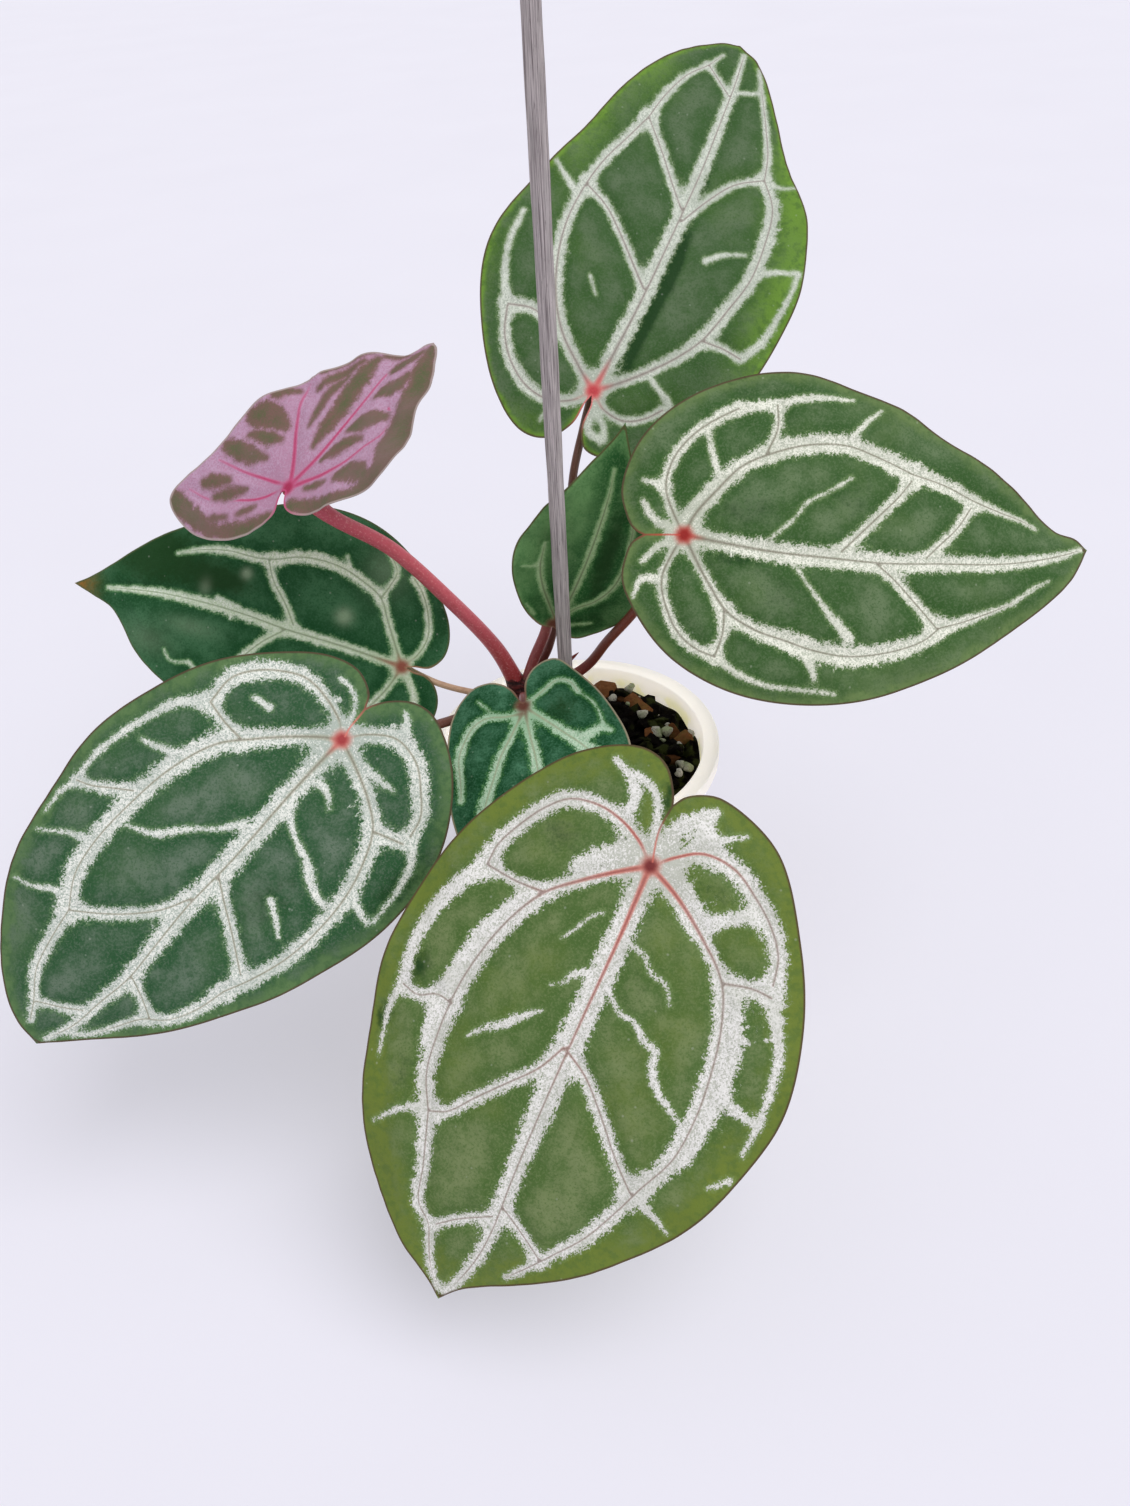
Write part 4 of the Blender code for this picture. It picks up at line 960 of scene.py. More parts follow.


# What a leaf's numbers mean, in millimetres and degrees. The petiole meets the blade at
# `attach`, the origin of its flat outline, whose Y runs along the midrib and X to the
# right. `right` and `left` go from the notch to the tip. A vein in `net` has the half
# widths of its silver and its points, and `wash` is silver away from the veins. `arch`
# lifts the middle, `sides` the flanks and `puff` the fields. The silver's teeth are
# `feather` long, and red spreads `blush` from the petiole. `tint` (the margin's tone),
# `shade` (painted shade, with some of the blade's own darker patches), `bloom` and `fray`
# are oval marks, and `route` leads the petiole to the blade.
leaf = dict(
    attach=(16, -97, 122), heading=-136, lift=-45, roll=-20.5, length=132.5,
    arch=8, sides=-5, half_width=58, puff=1.1, feather=0.6, blush=48,
    seam=[(1.0, -4.2), (1.8, -6.8), (2.3, -9.4), (2.4, -12.3), (2.3, -14.8), (2.2, -17)],
    right=[(3.4, -19.6), (9.4, -26), (18, -27), (33, -18), (46, 2), (54, 26),
           (55, 55), (48, 80), (36, 105), (18, 121.5), (6, 128)],
    left=[(0.6, -19.9), (-3.2, -22.6), (-9, -24), (-28, -18), (-44, 1), (-54, 20),
          (-59, 42), (-56, 62), (-48, 83), (-35, 100), (-18, 116), (-5, 126)],
    net=[((3.2, 3.4, 3.6, 3.4, 2.6, 2.0, 1.2),
          [(0, 0), (-1.5, 20), (-2.5, 45), (-3.5, 70), (-4.5, 90), (-5.5, 105), (-5, 115), (-3, 124),
           (-1, 130)]),
         ((1.6, 1.8, 2.4, 2.6, 2.6, 2.4),
          [(0, 0), (8, 6), (15, 12), (22, 19), (27, 29), (30, 40), (31.5, 52), (31, 65), (29, 77),
           (24, 86)]),
         ((2.2, 1.8, 1.0), [(24, 86), (19, 100), (16, 110), (11, 114), (9, 118), (6, 124), (2, 129)]),
         ((1.6, 1.6, 1.8, 2.2, 2.4, 2.4),
          [(0, 0), (-10, 4), (-20, 10), (-30, 18), (-35, 28), (-38, 40), (-39.5, 52), (-39, 64),
           (-35, 75)]),
         ((2.4, 1.8, 0.8), [(-35, 75), (-32, 84), (-28, 94), (-23, 102), (-18, 110), (-14, 116)]),
         ((1.5, 1.7, 1.6), [(-1.5, 52), (2, 60), (8, 68), (14, 76), (19, 83), (24, 86)]),
         ((1.5, 1.3), [(-4, 102), (4, 108), (9, 113)]),
         ((2.2, 1.3), [(31, 57), (36, 57), (41, 60), (46, 59.5)]),
         ((1.8, 2.2, 2.4), [(0, 0), (5, -4), (12, -7), (20, -8), (28, -6), (33, -1), (37, 6), (40, 14),
                            (40, 20)]),
         ((1.4, 1.3), [(22, 19), (30, 20), (40, 20)]),
         ((1.7, 1.9), [(-2, 52), (-10, 56), (-18, 63), (-26, 71), (-33, 77)]),
         ((1.6, 1.4), [(-5, 98), (-13, 102), (-20, 106)]),
         ((2.2, 2.6, 2.2), [(0, 0), (-5, -5), (-11, -9), (-20, -9), (-28, -5), (-35, 0), (-40, 6),
                            (-42, 13)]),
         ((1.8, 2.0), [(-31, 18), (-38, 16), (-43, 16)])],
    wash=[((2.0, 2.2, 1.8), [(25, 23), (31, 33), (33, 45), (34, 56), (32.5, 68)]),
          ((2.4, 2.2, 2.0, 1.6), [(-35, 22), (-39.5, 30), (-41.5, 40), (-42, 50), (-40.5, 62)]),
          ((2.4, 2.2), [(5, -2), (11, 2), (17, 8)]),
          ((2.4, 2.2), [(-5, -1), (-11, 2), (-17, 7)]),
          ((1.6, 1.8), [(-20, 7), (-25, 2.5), (-31, -1)]),
          ((1.6, 2.6, 2.6, 1.4, 0.5), [(-0.6, -4), (-1.2, -9), (-3, -13.5), (-6, -17), (-9, -20)]),
          ((3.4, 2.4, 0.8), [(-11, -11), (-9, -14), (-8.5, -18)]),
          ((1.0, 0.4), [(-11, -13), (-16, -16), (-19, -18)]),
          ((2.0, 1.4, 0.8), [(12, -8), (12, -14), (15, -18), (22, -21)]),
          ((1.2, 0.8), [(2.5, -6), (4.5, -13), (8, -18), (15, -20)]),
          ((2.2, 2.2, 1.8, 1.2), [(40, 20), (45, 29), (48, 40), (48, 50), (46, 59.5)]),
          ((1.2, 0.3), [(24, 86), (30, 88), (37, 97)]),
          ((1.2, 0.3), [(46, 59.5), (47, 66), (45, 75), (43.5, 80)]),
          ((0.3, 1.1, 0.9, 0.2), [(8, 46), (13, 51), (15, 54), (19, 57), (23, 62)]),
          ((0.3, 0.4, 0.1), [(5, 16), (8, 19), (9, 22), (12, 27)]),
          ((1.2, 0.5, 0.2), [(2, 32), (5, 34), (6, 37), (9, 39)]),
          ((1.5, 0.3), [(-33, 77), (-40, 79), (-46, 82)]),
          ((0.4, 0.6, 1.0, 0.9, 0.4), [(-5, 33), (-11, 37), (-15, 37), (-19, 40), (-23, 41), (-24, 45),
                                       (-28, 50), (-32, 52), (-38, 56)]),
          ((0.6, 0.5, 0.3), [(-4, 20), (-10, 21), (-13, 24), (-18, 25), (-21, 29)]),
          ((2.0, 1.3, 0.9, 0.5), [(-42, 13), (-46, 20), (-51, 28), (-53, 36), (-54, 45), (-54, 55)]),
          ((0.6, 1.6), [(-54, 46), (-47, 45), (-42, 43)]),
          ((0.8, 0.3), [(-54, 62), (-50, 66)])],
    tint=[(42, 92, 12, 14, 0.5), (-52, 72, 8, 16, 0.5), (30, 112, 14, 9, 0.6), (-25, 112, 12, 8, 0.5),
          (-18, -1, 8, 4, 0.3)],
    # Darker marks: painted shade, with the dark green strip beside the notch and a few dark patches the
    # blade's own.
    shade=[(35, 80, 5, 7, 0.35), (-18, -2, 7, 3, 0.35), (4.4, -17, 2.6, 9, 0.75), (25, 3, 8, 6, 0.42),
           (44, 52, 4, 5, 0.7), (47, 70, 3, 4, 0.8), (-11, 30, 6, 14, 0.25)],
    fray=[(-46, 40, 8, 22, 0.9), (-12, -18, 12, 6, 0.7), (12, 2, 6, 6, 0.7), (-45, 18, 5, 6, 0.5),
          (44, 60, 7, 8, 0.4), (-18, -1, 7, 4, 0.8)],
    route=[(-1, -15, 93), (10, -42, 97.5), (19, -70, 105)])
RIM = (0.090, 0.045, 0.030)
grow("front", leaf, {
    "Field": (0.072, 0.14, 0.032), "Field Light": (0.1851, 0.2387, 0.0996),
    "Margin": (0.1518, 0.207, 0.034), "Silver": (0.9, 0.88, 0.86), "Silver Shade": (0.54, 0.5508, 0.486),
    "Fringe": (0.22, 0.31, 0.12), "Line": (0.4, 0.29, 0.25), "Heart": (0.66, 0.17, 0.13),
    "Seat": (0.12, 0.003, 0.012), "Rim": RIM},
    under=((0.17, 0.24, 0.095), (0.42, 0.40, 0.24)),
    stalk=((0.20, 0.030, 0.030), (0.26, 0.050, 0.045), (0.30, 0.07, 0.06), (0.42, 0.20, 0.15)),
    slots=("petiole_red", "leaf_olive"), band=13.0, cast=0.35, width=0.43)

# Left leaf: bluish deep green with white-silver bands. It hangs to the lower left, and
# its tip points down to the table.
leaf = dict(
    attach=(-68, -49, 136), heading=-154, lift=-31, roll=-46, length=127.5,
    arch=7, sides=-4, half_width=51, puff=1.1, feather=0.75, blush=5,
    seam=[(0.8, -3.6), (1.2, -6.6), (1.5, -9.2), (1.8, -11.2)],
    right=[(4.2, -14.8), (11.3, -17.3), (20, -14.5), (30, -6), (42, 10), (50, 33),
           (51.5, 48), (48, 72), (39, 98), (26, 115), (10, 125.5)],
    left=[(0.5, -14.4), (-2.2, -18.2), (-7, -22), (-14, -23), (-30, -15), (-44, 4), (-48, 28),
          (-43, 56), (-33, 81), (-21, 101), (-9, 116.5)],
    net=[((2.8, 3.2, 3.2, 2.6, 2.0, 1.0),
          [(0, 0), (-1, 20), (-3, 45), (-3.5, 65), (-5, 80), (-6, 92), (-5, 103), (-4, 115), (-1, 124)]),
         ((2.2, 2.6, 3.2, 2.7, 3.0, 2.6),
          [(0, 0), (5, 4), (12, 11), (18, 18), (24, 26), (28, 40), (29, 55), (28.5, 70), (26, 81),
           (20, 90)]),
         ((2.2, 2.0, 1.0), [(20, 90), (18, 100), (15, 110), (9, 118), (6, 123)]),
         ((1.8, 2.2, 2.6, 2.4, 2.2, 2.4),
          [(0, 0), (-9, 3), (-18, 7), (-25, 12), (-30, 21), (-33, 30), (-34.5, 42), (-34, 55), (-31, 67),
           (-28, 75)]),
         ((2.2, 1.4, 0.6), [(-28, 75), (-26, 85), (-22, 93), (-17, 98), (-13, 106), (-9, 114), (-6, 117)]),
         ((1.6, 1.7, 1.6), [(-2.5, 62), (1, 70), (7, 78), (13, 84), (20, 90)]),
         ((1.4, 1.0), [(-3, 109), (2, 113), (8, 117)]),
         ((2.0, 1.2), [(31, 52), (36, 56), (41, 60), (45, 62)]),
         ((1.2, 2.0, 2.6, 2.2), [(0, 0), (4, -3), (11, -5), (20, -5), (27, -1), (32, 4), (35, 10),
                                 (34, 19)]),
         ((1.8, 1.5), [(20, 20), (27, 20), (34, 19)]),
         ((1.7, 1.9), [(-4, 52), (-10, 56), (-18, 61), (-28, 68)]),
         ((1.5, 1.5), [(-7, 91), (-12, 93), (-18, 96)]),
         ((1.6, 2.6, 2.6, 2.0), [(0, 0), (-4, -6), (-11, -11), (-20, -10), (-27, -5), (-32, 0), (-34, 6)]),
         ((2.2, 1.6), [(-26, 12), (-34, 9)])],
    wash=[((1.6, 1.2, 0.4), [(-7, 2), (-15, 0.8), (-21, 0)]),
          ((1.2, 0.4), [(-5, 13), (-8, 13), (-12, 16)]),
          ((2.0, 1.0, 0.8, 0.6), [(34, 19), (40, 25), (43, 33), (45, 42), (46, 52), (45, 62)]),
          ((1.1, 0.3), [(20, 90), (26, 88), (33, 93), (38, 95)]),
          ((0.9, 0.3), [(29, 70), (36, 74), (43, 80)]),
          ((0.9, 0.3), [(45, 62), (46, 68), (45, 75)]),
          ((1.0, 0.6), [(21, 8), (26, 9)]),
          ((1.2, 0.4), [(30, 36), (35, 38), (40, 40)]),
          ((1.0, 0.5, 1.1, 0.3), [(2, 36), (6, 42), (12, 48), (17, 55), (25, 60)]),
          ((1.0, 0.7, 1.3, 0.8), [(-4, 24), (-10, 28), (-18, 31), (-24, 35), (-30, 37)]),
          ((0.9, 0.4), [(-19, 46), (-24, 49), (-28, 52)]),
          ((1.4, 0.8, 0.4), [(-34, 6), (-38, 9), (-41, 14), (-43, 22), (-44, 30)]),
          ((1.4, 0.6), [(-35, 30), (-43, 32)]),
          ((1.6, 0.5), [(-12, -13), (-10, -16), (-7, -18)]),
          ((0.7, 0.5), [(2, -4), (4, -9), (8, -12), (13, -12)])],
    tint=[(44, 40, 6, 30, 0.2), (30, 108, 12, 10, 0.5), (-40, 62, 5, 12, 0.3)],
    # Painted shade darkens the left flank and spots by the notch and on the left half.
    shade=[(-42, 20, 5, 16, 0.55), (-10, -3, 6, 2, 0.3), (-18, 46, 9, 16, 0.38)],
    fray=[(-12, 12, 8, 8, 0.7), (43, 50, 6, 24, 0.5), (38, 92, 8, 8, 0.6), (-10, -16, 8, 5, 0.6),
          (8, -9, 6, 5, 0.6)],
    route=[(-31, 6, 101), (-42, -7, 107), (-57, -29, 120)])
grow("left", leaf, {
    "Field": (0.023, 0.090, 0.032), "Field Light": (0.133, 0.189, 0.133),
    "Margin": (0.105, 0.194, 0.073), "Silver": (0.912, 0.920, 0.861), "Silver Shade": (0.46, 0.52, 0.46),
    "Fringe": (0.224, 0.351, 0.168), "Line": (0.42, 0.4, 0.27), "Heart": (0.78, 0.22, 0.18),
    "Seat": (0.34, 0.02, 0.03), "Rim": RIM},
    under=((0.15, 0.23, 0.10), (0.38, 0.40, 0.25)),
    stalk=((0.12, 0.030, 0.022), (0.16, 0.055, 0.035), (0.20, 0.09, 0.05), (0.34, 0.20, 0.13)),
    slots=("petiole_brown", "leaf_green"), band=6.0, cast=0.15, grit=0.85)

# Right leaf: long and pointed, held out to the right almost level, its face turned to
# the front.
leaf = dict(
    attach=(36, -17, 175), heading=-1, lift=-7.5, roll=52, length=121,
    arch=6, sides=-4, half_width=50, puff=1.1, feather=0.6, blush=5, seam=[(0, -5), (0, -11.6)],
    right=[(0.8, -13.2), (2.2, -14.9), (5.2, -16.3), (13, -17.5), (23, -13), (36, -2), (45, 14), (48.5, 36),
           (46, 57), (37, 79), (25, 98), (10, 115)],
    left=[(-0.8, -13.2), (-2.5, -15.0), (-6, -16.5), (-14, -18), (-28, -13), (-40, 0), (-47, 18), (-47, 36),
          (-39, 59), (-28, 78), (-16, 97), (-5, 110), (-3, 117)],
    net=[((2.2, 2.6, 2.8, 2.4, 2.1, 1.8, 0.7),
          [(0, 0), (2, 10), (4.5, 25), (6, 42), (7, 58), (6.5, 75), (6, 90), (4.5, 102), (2, 113),
           (0, 119)]),
         ((1.2, 1.3, 1.8, 2.8, 2.8, 2.6, 2.2),
          [(0, 0), (8, 4), (15, 8), (22, 13), (27, 21), (30, 30), (32.5, 38), (34, 48), (32.5, 60),
           (29, 70), (25, 75)]),
         ((1.9, 1.2, 0.4), [(25, 75), (23, 82), (20, 90), (17, 97)]),
         ((1.8, 1.9, 2.4, 2.7, 2.6, 2.8),
          [(0, 0), (-6, 3), (-13, 9), (-20, 16), (-24, 25), (-26.5, 35), (-26.5, 46), (-23, 56),
           (-19, 65)]),
         ((2.4, 1.9, 1.0, 0.5), [(-19, 65), (-16, 75), (-12, 84), (-9, 93), (-7, 100), (-5, 104)]),
         ((1.5, 1.7), [(7, 55), (12, 61), (18, 67), (25, 74)]),
         ((1.0, 1.2, 1.6, 1.6), [(0, 0), (5, -3), (13, -6), (22, -4), (29, 0), (33, 5), (35, 10)]),
         ((1.7, 1.3), [(21, 12), (28, 12), (35, 10)]),
         ((1.6, 1.6), [(4, 45), (0, 49), (-6, 55), (-12, 61), (-17, 65)]),
         ((1.4, 1.6), [(5, 70), (1, 74), (-4, 79), (-10, 83)]),
         ((1.3, 1.5, 1.8), [(0, 0), (-6, -3), (-14, -5.5), (-23, -3), (-30, 3), (-34, 9), (-37, 15)]),
         ((1.3, 1.2), [(-24, 23), (-31, 26), (-38, 26)])],
    wash=[((1.0, 0.5, 0.4), [(35, 10), (40, 17), (43, 25), (44, 35), (45, 45)]),
          ((0.3, 0.5, 1.5), [(7, 30), (12, 34), (20, 40), (29, 48)]),
          ((1.6, 0.5), [(32, 35), (36, 37), (41, 39)]),
          ((1.5, 1.0, 0.4), [(-37, 15), (-38, 25), (-40, 35), (-40, 48)]),
          ((0.9, 0.5), [(-18, 9), (-25, 7), (-31, 6)]),
          ((0.4, 0.3), [(1, 24), (-4, 30), (-10, 35), (-13, 41), (-17, 47)]),
          ((1.1, 0.3), [(-27, 46), (-32, 50), (-37, 56)]),
          ((0.6, 0.3), [(17, 97), (12, 104), (10, 108)]),
          ((1.6, 1.0, 0.5), [(1, -2), (4, -8), (8, -12)]),
          ((1.3, 0.4), [(13, -6), (13, -12), (18, -14)]),
          ((1.4, 0.6), [(-1, -3), (-5, -9), (-10, -12)]),
          ((1.3, 0.5), [(-14, -6), (-16, -12)]),
          ((1.8, 0.8), [(-4, 1), (-12, 6), (-18, 13)])],
    tint=[(40, 60, 7, 18, 0.35), (-38, 64, 6, 18, 0.35), (28, 96, 8, 10, 0.3)],
    # Painted shade darkens the fields beside the midrib, on the right half and on the left flank.
    shade=[(6, 15, 4, 12, 0.55), (-7, 18, 5, 12, 0.45), (32, 20, 5, 6, 0.35), (18, 30, 9, 12, 0.32),
           (-11, 47, 9, 9, 0.32), (-42, 15, 5, 12, 0.3)],
    fray=[(42, 34, 6, 16, 0.6), (-40, 36, 6, 16, 0.6), (-25, 8, 8, 4, 0.5), (8, 16, 5, 12, 0.5)],
    route=[(6, 19, 106), (14, 12, 121), (23, 3, 138)])
grow("right", leaf, {
    "Field": (0.038, 0.106, 0.023), "Field Light": (0.137, 0.205, 0.099),
    "Margin": (0.143, 0.222, 0.075), "Silver": (0.969, 0.97, 0.8502),
    "Silver Shade": (0.56, 0.5936, 0.4816), "Fringe": (0.238, 0.351, 0.140), "Line": (0.3, 0.29, 0.2),
    "Heart": (0.62, 0.075, 0.055), "Seat": (0.3, 0.01, 0.01), "Rim": RIM},
    under=((0.16, 0.24, 0.10), (0.38, 0.38, 0.24)),
    stalk=((0.24, 0.026, 0.022), (0.20, 0.050, 0.030), (0.16, 0.070, 0.035), (0.38, 0.16, 0.10)),
    slots=("petiole_brown", "leaf_green"), band=4.0, cast=0.25, grit=0.7)

# Back leaf: stands up behind the stake, mid-green with lime margins, folded a little
# along the midrib, with painted shade on the flank to its right.
leaf = dict(
    attach=(15, 40, 197), heading=56, lift=36, roll=29, length=132,
    arch=4, sides=3, half_width=50, puff=1.1, feather=0.35, blush=9,
    right=[(0.9, -4), (1.0, -12), (4.5, -18), (11, -18.5), (23, -13), (36, 1), (44.5, 18), (48.5, 40),
           (48.5, 57), (43, 78), (32, 93), (21, 110), (8, 127.5)],
    left=[(-0.9, -4), (-2.2, -12), (-8, -19), (-17, -20), (-29, -12), (-40.5, 5), (-48, 26), (-45.5, 48),
          (-38, 70), (-30, 96), (-19, 119), (-7, 130)],
    net=[((2.4, 2.7, 2.6, 2.5, 2.2, 1.7, 0.8),
          [(0, 0), (1.5, 15), (3, 35), (4, 61), (4.5, 82), (4, 102), (3.5, 117), (2.5, 129)]),
         ((1.6, 1.8, 2.4, 2.2, 2.4, 1.8),
          [(0, 0), (7, 6), (14, 13), (20, 20), (25.5, 28.5), (29.5, 41), (32.5, 53), (32.5, 66),
           (30.5, 79), (24.5, 88)]),
         ((1.5, 1.0, 0.6), [(24.5, 88), (22.5, 97), (18.5, 106), (14, 115), (11, 121), (9, 126)]),
         ((1.8, 2.0, 2.1, 1.8, 1.8, 1.8),
          [(0, 0), (-8, 6), (-16, 13), (-22, 22), (-26.5, 34), (-28.5, 46), (-28, 58), (-25.5, 71),
           (-21.5, 82), (-18, 92)]),
         ((1.6, 1.6, 1.0, 0.5), [(-18, 92), (-16, 102), (-12, 113), (-7, 120), (-4, 126)]),
         ((1.3, 1.3), [(5, 63), (10, 73), (16, 82), (24.5, 88)]),
         ((1.5, 1.1), [(26.5, 28.5), (33, 28.5), (39, 27.5)]),
         ((1.3, 1.5), [(2, 37), (-4, 43), (-12, 51), (-19, 57), (-27.5, 61)]),
         ((1.4, 1.6), [(4, 66), (-2, 73), (-10, 83), (-18, 92)]),
         ((0.9, 1.0), [(3, 112), (-2, 116), (-7, 120)]),
         ((1.8, 2.0, 1.5), [(0, 0), (-5, -5), (-12, -8), (-20, -7), (-27.5, -2), (-32.5, 5), (-35, 13)]),
         ((2.0, 2.0), [(-20.5, 14), (-27.5, 16), (-35, 14)]),
         ((1.2, 1.4, 1.2), [(0, 0), (5, -4), (12, -5), (18, -2), (22.5, 3)])],
    wash=[((1.4, 0.9, 0.7), [(-35, 13), (-39, 20.5), (-42, 30.5), (-42, 43)]),
          ((0.7, 0.5), [(5, 114), (9, 115), (12, 117)]),
          ((1.2, 0.8, 0.5), [(39, 27.5), (43, 34), (45, 43), (46, 53), (46, 61)]),
          ((1.0, 0.5), [(34, 56), (41, 59), (46, 61)]),
          ((0.6, 0.3), [(24.5, 88), (30.5, 87), (35, 89)]),
          ((1.0, 0.7, 0.3), [(17, 53), (21.5, 57), (28, 60)]),
          ((0.4, 0.2), [(-15, 33), (-11, 28)]),
          ((1.0, 0.7), [(22.5, 3), (24, 5), (17, 9), (14, 12)]),
          ((1.4, 1.0), [(2, -5), (3, -12), (8, -14)]),
          ((1.0, 0.8), [(2, -5), (7, -9), (9, -13)]),
          ((1.3, 0.4), [(-28.5, 56), (-33.5, 59), (-39, 63)]),
          ((1.0, 0.4), [(-10, -8), (-12, -15)])],
    tint=[(44, 50, 8, 32, 0.95), (37, 84, 8, 14, 0.85), (-34, 88, 7, 24, 0.7), (-47, 20, 5, 22, 0.35),
          (30, 100, 7, 10, 0.8), (-24, 112, 8, 12, 0.6), (-15, -17, 14, 4, 0.35)],
    # Painted shade: a deep green strip right of the midrib, for the fold's shadow.
    shade=[(5.9, 23, 3.0, 19, 1.3), (7.8, 47, 3.0, 14, 1.3), (6.4, 76, 2.2, 10, 0.9)],
    fray=[(44, 48, 5, 20, 0.5), (34, 74, 4, 10, 0.3)],
    route=[(-6, 26, 112), (3, 29, 150), (7, 30, 176)])
grow("back", leaf, {
    "Field": (0.039, 0.104, 0.024), "Field Light": (0.108, 0.165, 0.084), "Margin": (0.15, 0.29, 0.035),
    "Silver": (0.743, 0.7841, 0.6897), "Silver Shade": (0.484, 0.528, 0.4488),
    "Fringe": (0.280, 0.390, 0.182), "Line": (0.46, 0.38, 0.36), "Heart": (0.8, 0.17, 0.17),
    "Seat": (0.6, 0.045, 0.06), "Rim": RIM},
    under=((0.20, 0.29, 0.10), (0.42, 0.42, 0.25)),
    stalk=((0.12, 0.022, 0.018), (0.11, 0.040, 0.026), (0.13, 0.050, 0.034), (0.24, 0.13, 0.09)),
    slots=("petiole_brown", "leaf_green"), band=2.5, cast=0.10, width=0.5, grit=0.5)

# Lower left leaf: dark and glossy green with mint veins and an orange tip, tucked
# under the left and the young leaf on a short tan petiole.
leaf = dict(
    attach=(-57, 13, 117), heading=164.5, lift=12.5, roll=-54, length=119.5,
    arch=8, sides=-4, half_width=45, puff=0.9, feather=0.3, blush=8,
    right=[(0.8, -4), (1.6, -9), (7, -13), (16, -12.5), (28, -5), (42, 13), (46.5, 30), (44, 50),
           (34, 71), (24, 90), (10, 105.5), (4, 113)],
    left=[(-0.8, -4), (-1.4, -9), (-6, -13), (-14, -14), (-28, -7), (-39, 8), (-43, 30), (-38, 53),
          (-28, 73), (-17, 91), (-5, 103), (-2.4, 111)],
    net=[((1.5, 1.6, 1.9, 1.8, 1.4, 0.5),
          [(0, 0), (2, 20), (3, 40), (4.5, 55), (5, 70), (4.5, 85), (3, 97), (1.5, 106)]),
         ((1.1, 1.4, 2.0, 2.0), [(0, 0), (7, 4), (14, 8), (21, 12), (25, 19), (28, 28), (28, 40),
                                 (25, 49)]),
         ((1.6, 1.3, 0.4), [(25, 49), (24, 55), (24, 65), (22, 75), (19, 83)]),
         ((1.1, 1.6, 1.8), [(0, 0), (-8, 3), (-15, 7), (-23, 13), (-29, 22), (-31, 33), (-30, 45),
                            (-25, 58)]),
         ((1.2, 1.2), [(5, 38), (11, 42), (18, 48), (24, 51)]),
         ((1.2, 1.4), [(3, 40), (-3, 47), (-9, 52), (-16, 57), (-23, 61)]),
         ((0.9, 1.0, 1.1), [(0, 0), (5, -4), (12, -6), (20, -4), (27, 0), (30, 3)]),
         ((1.2, 0.7), [(21, 12), (26, 10), (31, 9), (38, 14)])],
    wash=[((1.2, 0.4), [(-25, 58), (-20, 65), (-16, 70)]),
          ((0.3, 0.2), [(-16, 70), (-17, 77), (-14, 80)]),
          ((1.6, 0.4), [(5, 59), (8, 65)]),
          ((0.6, 0.3), [(28, 24), (32, 26)]),
          ((1.2, 0.6), [(0, 0), (-4, -3), (-9, -6), (-16, -7), (-26, -2), (-36, 13)])],
    tint=[(0, 117, 6, 6, 0.9)],
    # Painted shade darkens the tip, the right flank and the right lobe.
    shade=[(18, 92, 14, 22, 0.9), (14, 64, 5, 12, 0.75), (38, 56, 8, 20, 0.3), (14, -8, 8, 5, 0.4)],
    fray=[(6, 62, 6, 7, 0.5)],
    bloom=[(12, 22, 2.6, 2.6, 1.2), (18, 57, 1.8, 1.8, 1.2), (-4, 72, 3, 9, 0.35), (10, 70, 3, 2, 0.5),
           (30, 12, 9, 7, 0.4), (-12, 88, 5, 10, 0.3)],
    route=[(-33, 16, 101), (-46, 13.5, 108.5)])
grow("lower_left", leaf, {
    "Field": (0.0085, 0.07, 0.02), "Field Light": (0.048, 0.152, 0.067), "Margin": (0.30, 0.13, 0.02),
    "Silver": (0.88, 0.93, 0.82), "Silver Shade": (0.567, 0.6825, 0.4725),
    "Fringe": (0.192, 0.420, 0.160), "Line": (0.390, 0.510, 0.300), "Heart": (0.40, 0.20, 0.12),
    "Seat": (0.3, 0.07, 0.05), "Rim": (0.090, 0.112, 0.045)},
    under=((0.10, 0.19, 0.07), (0.28, 0.34, 0.18)),
    stalk=((0.24, 0.060, 0.040), (0.60, 0.38, 0.25), (0.56, 0.40, 0.26), (0.66, 0.50, 0.38)),
    slots=("petiole_brown", "leaf_deep"), band=0.05, cast=0.0, width=0.4, grit=0.5)

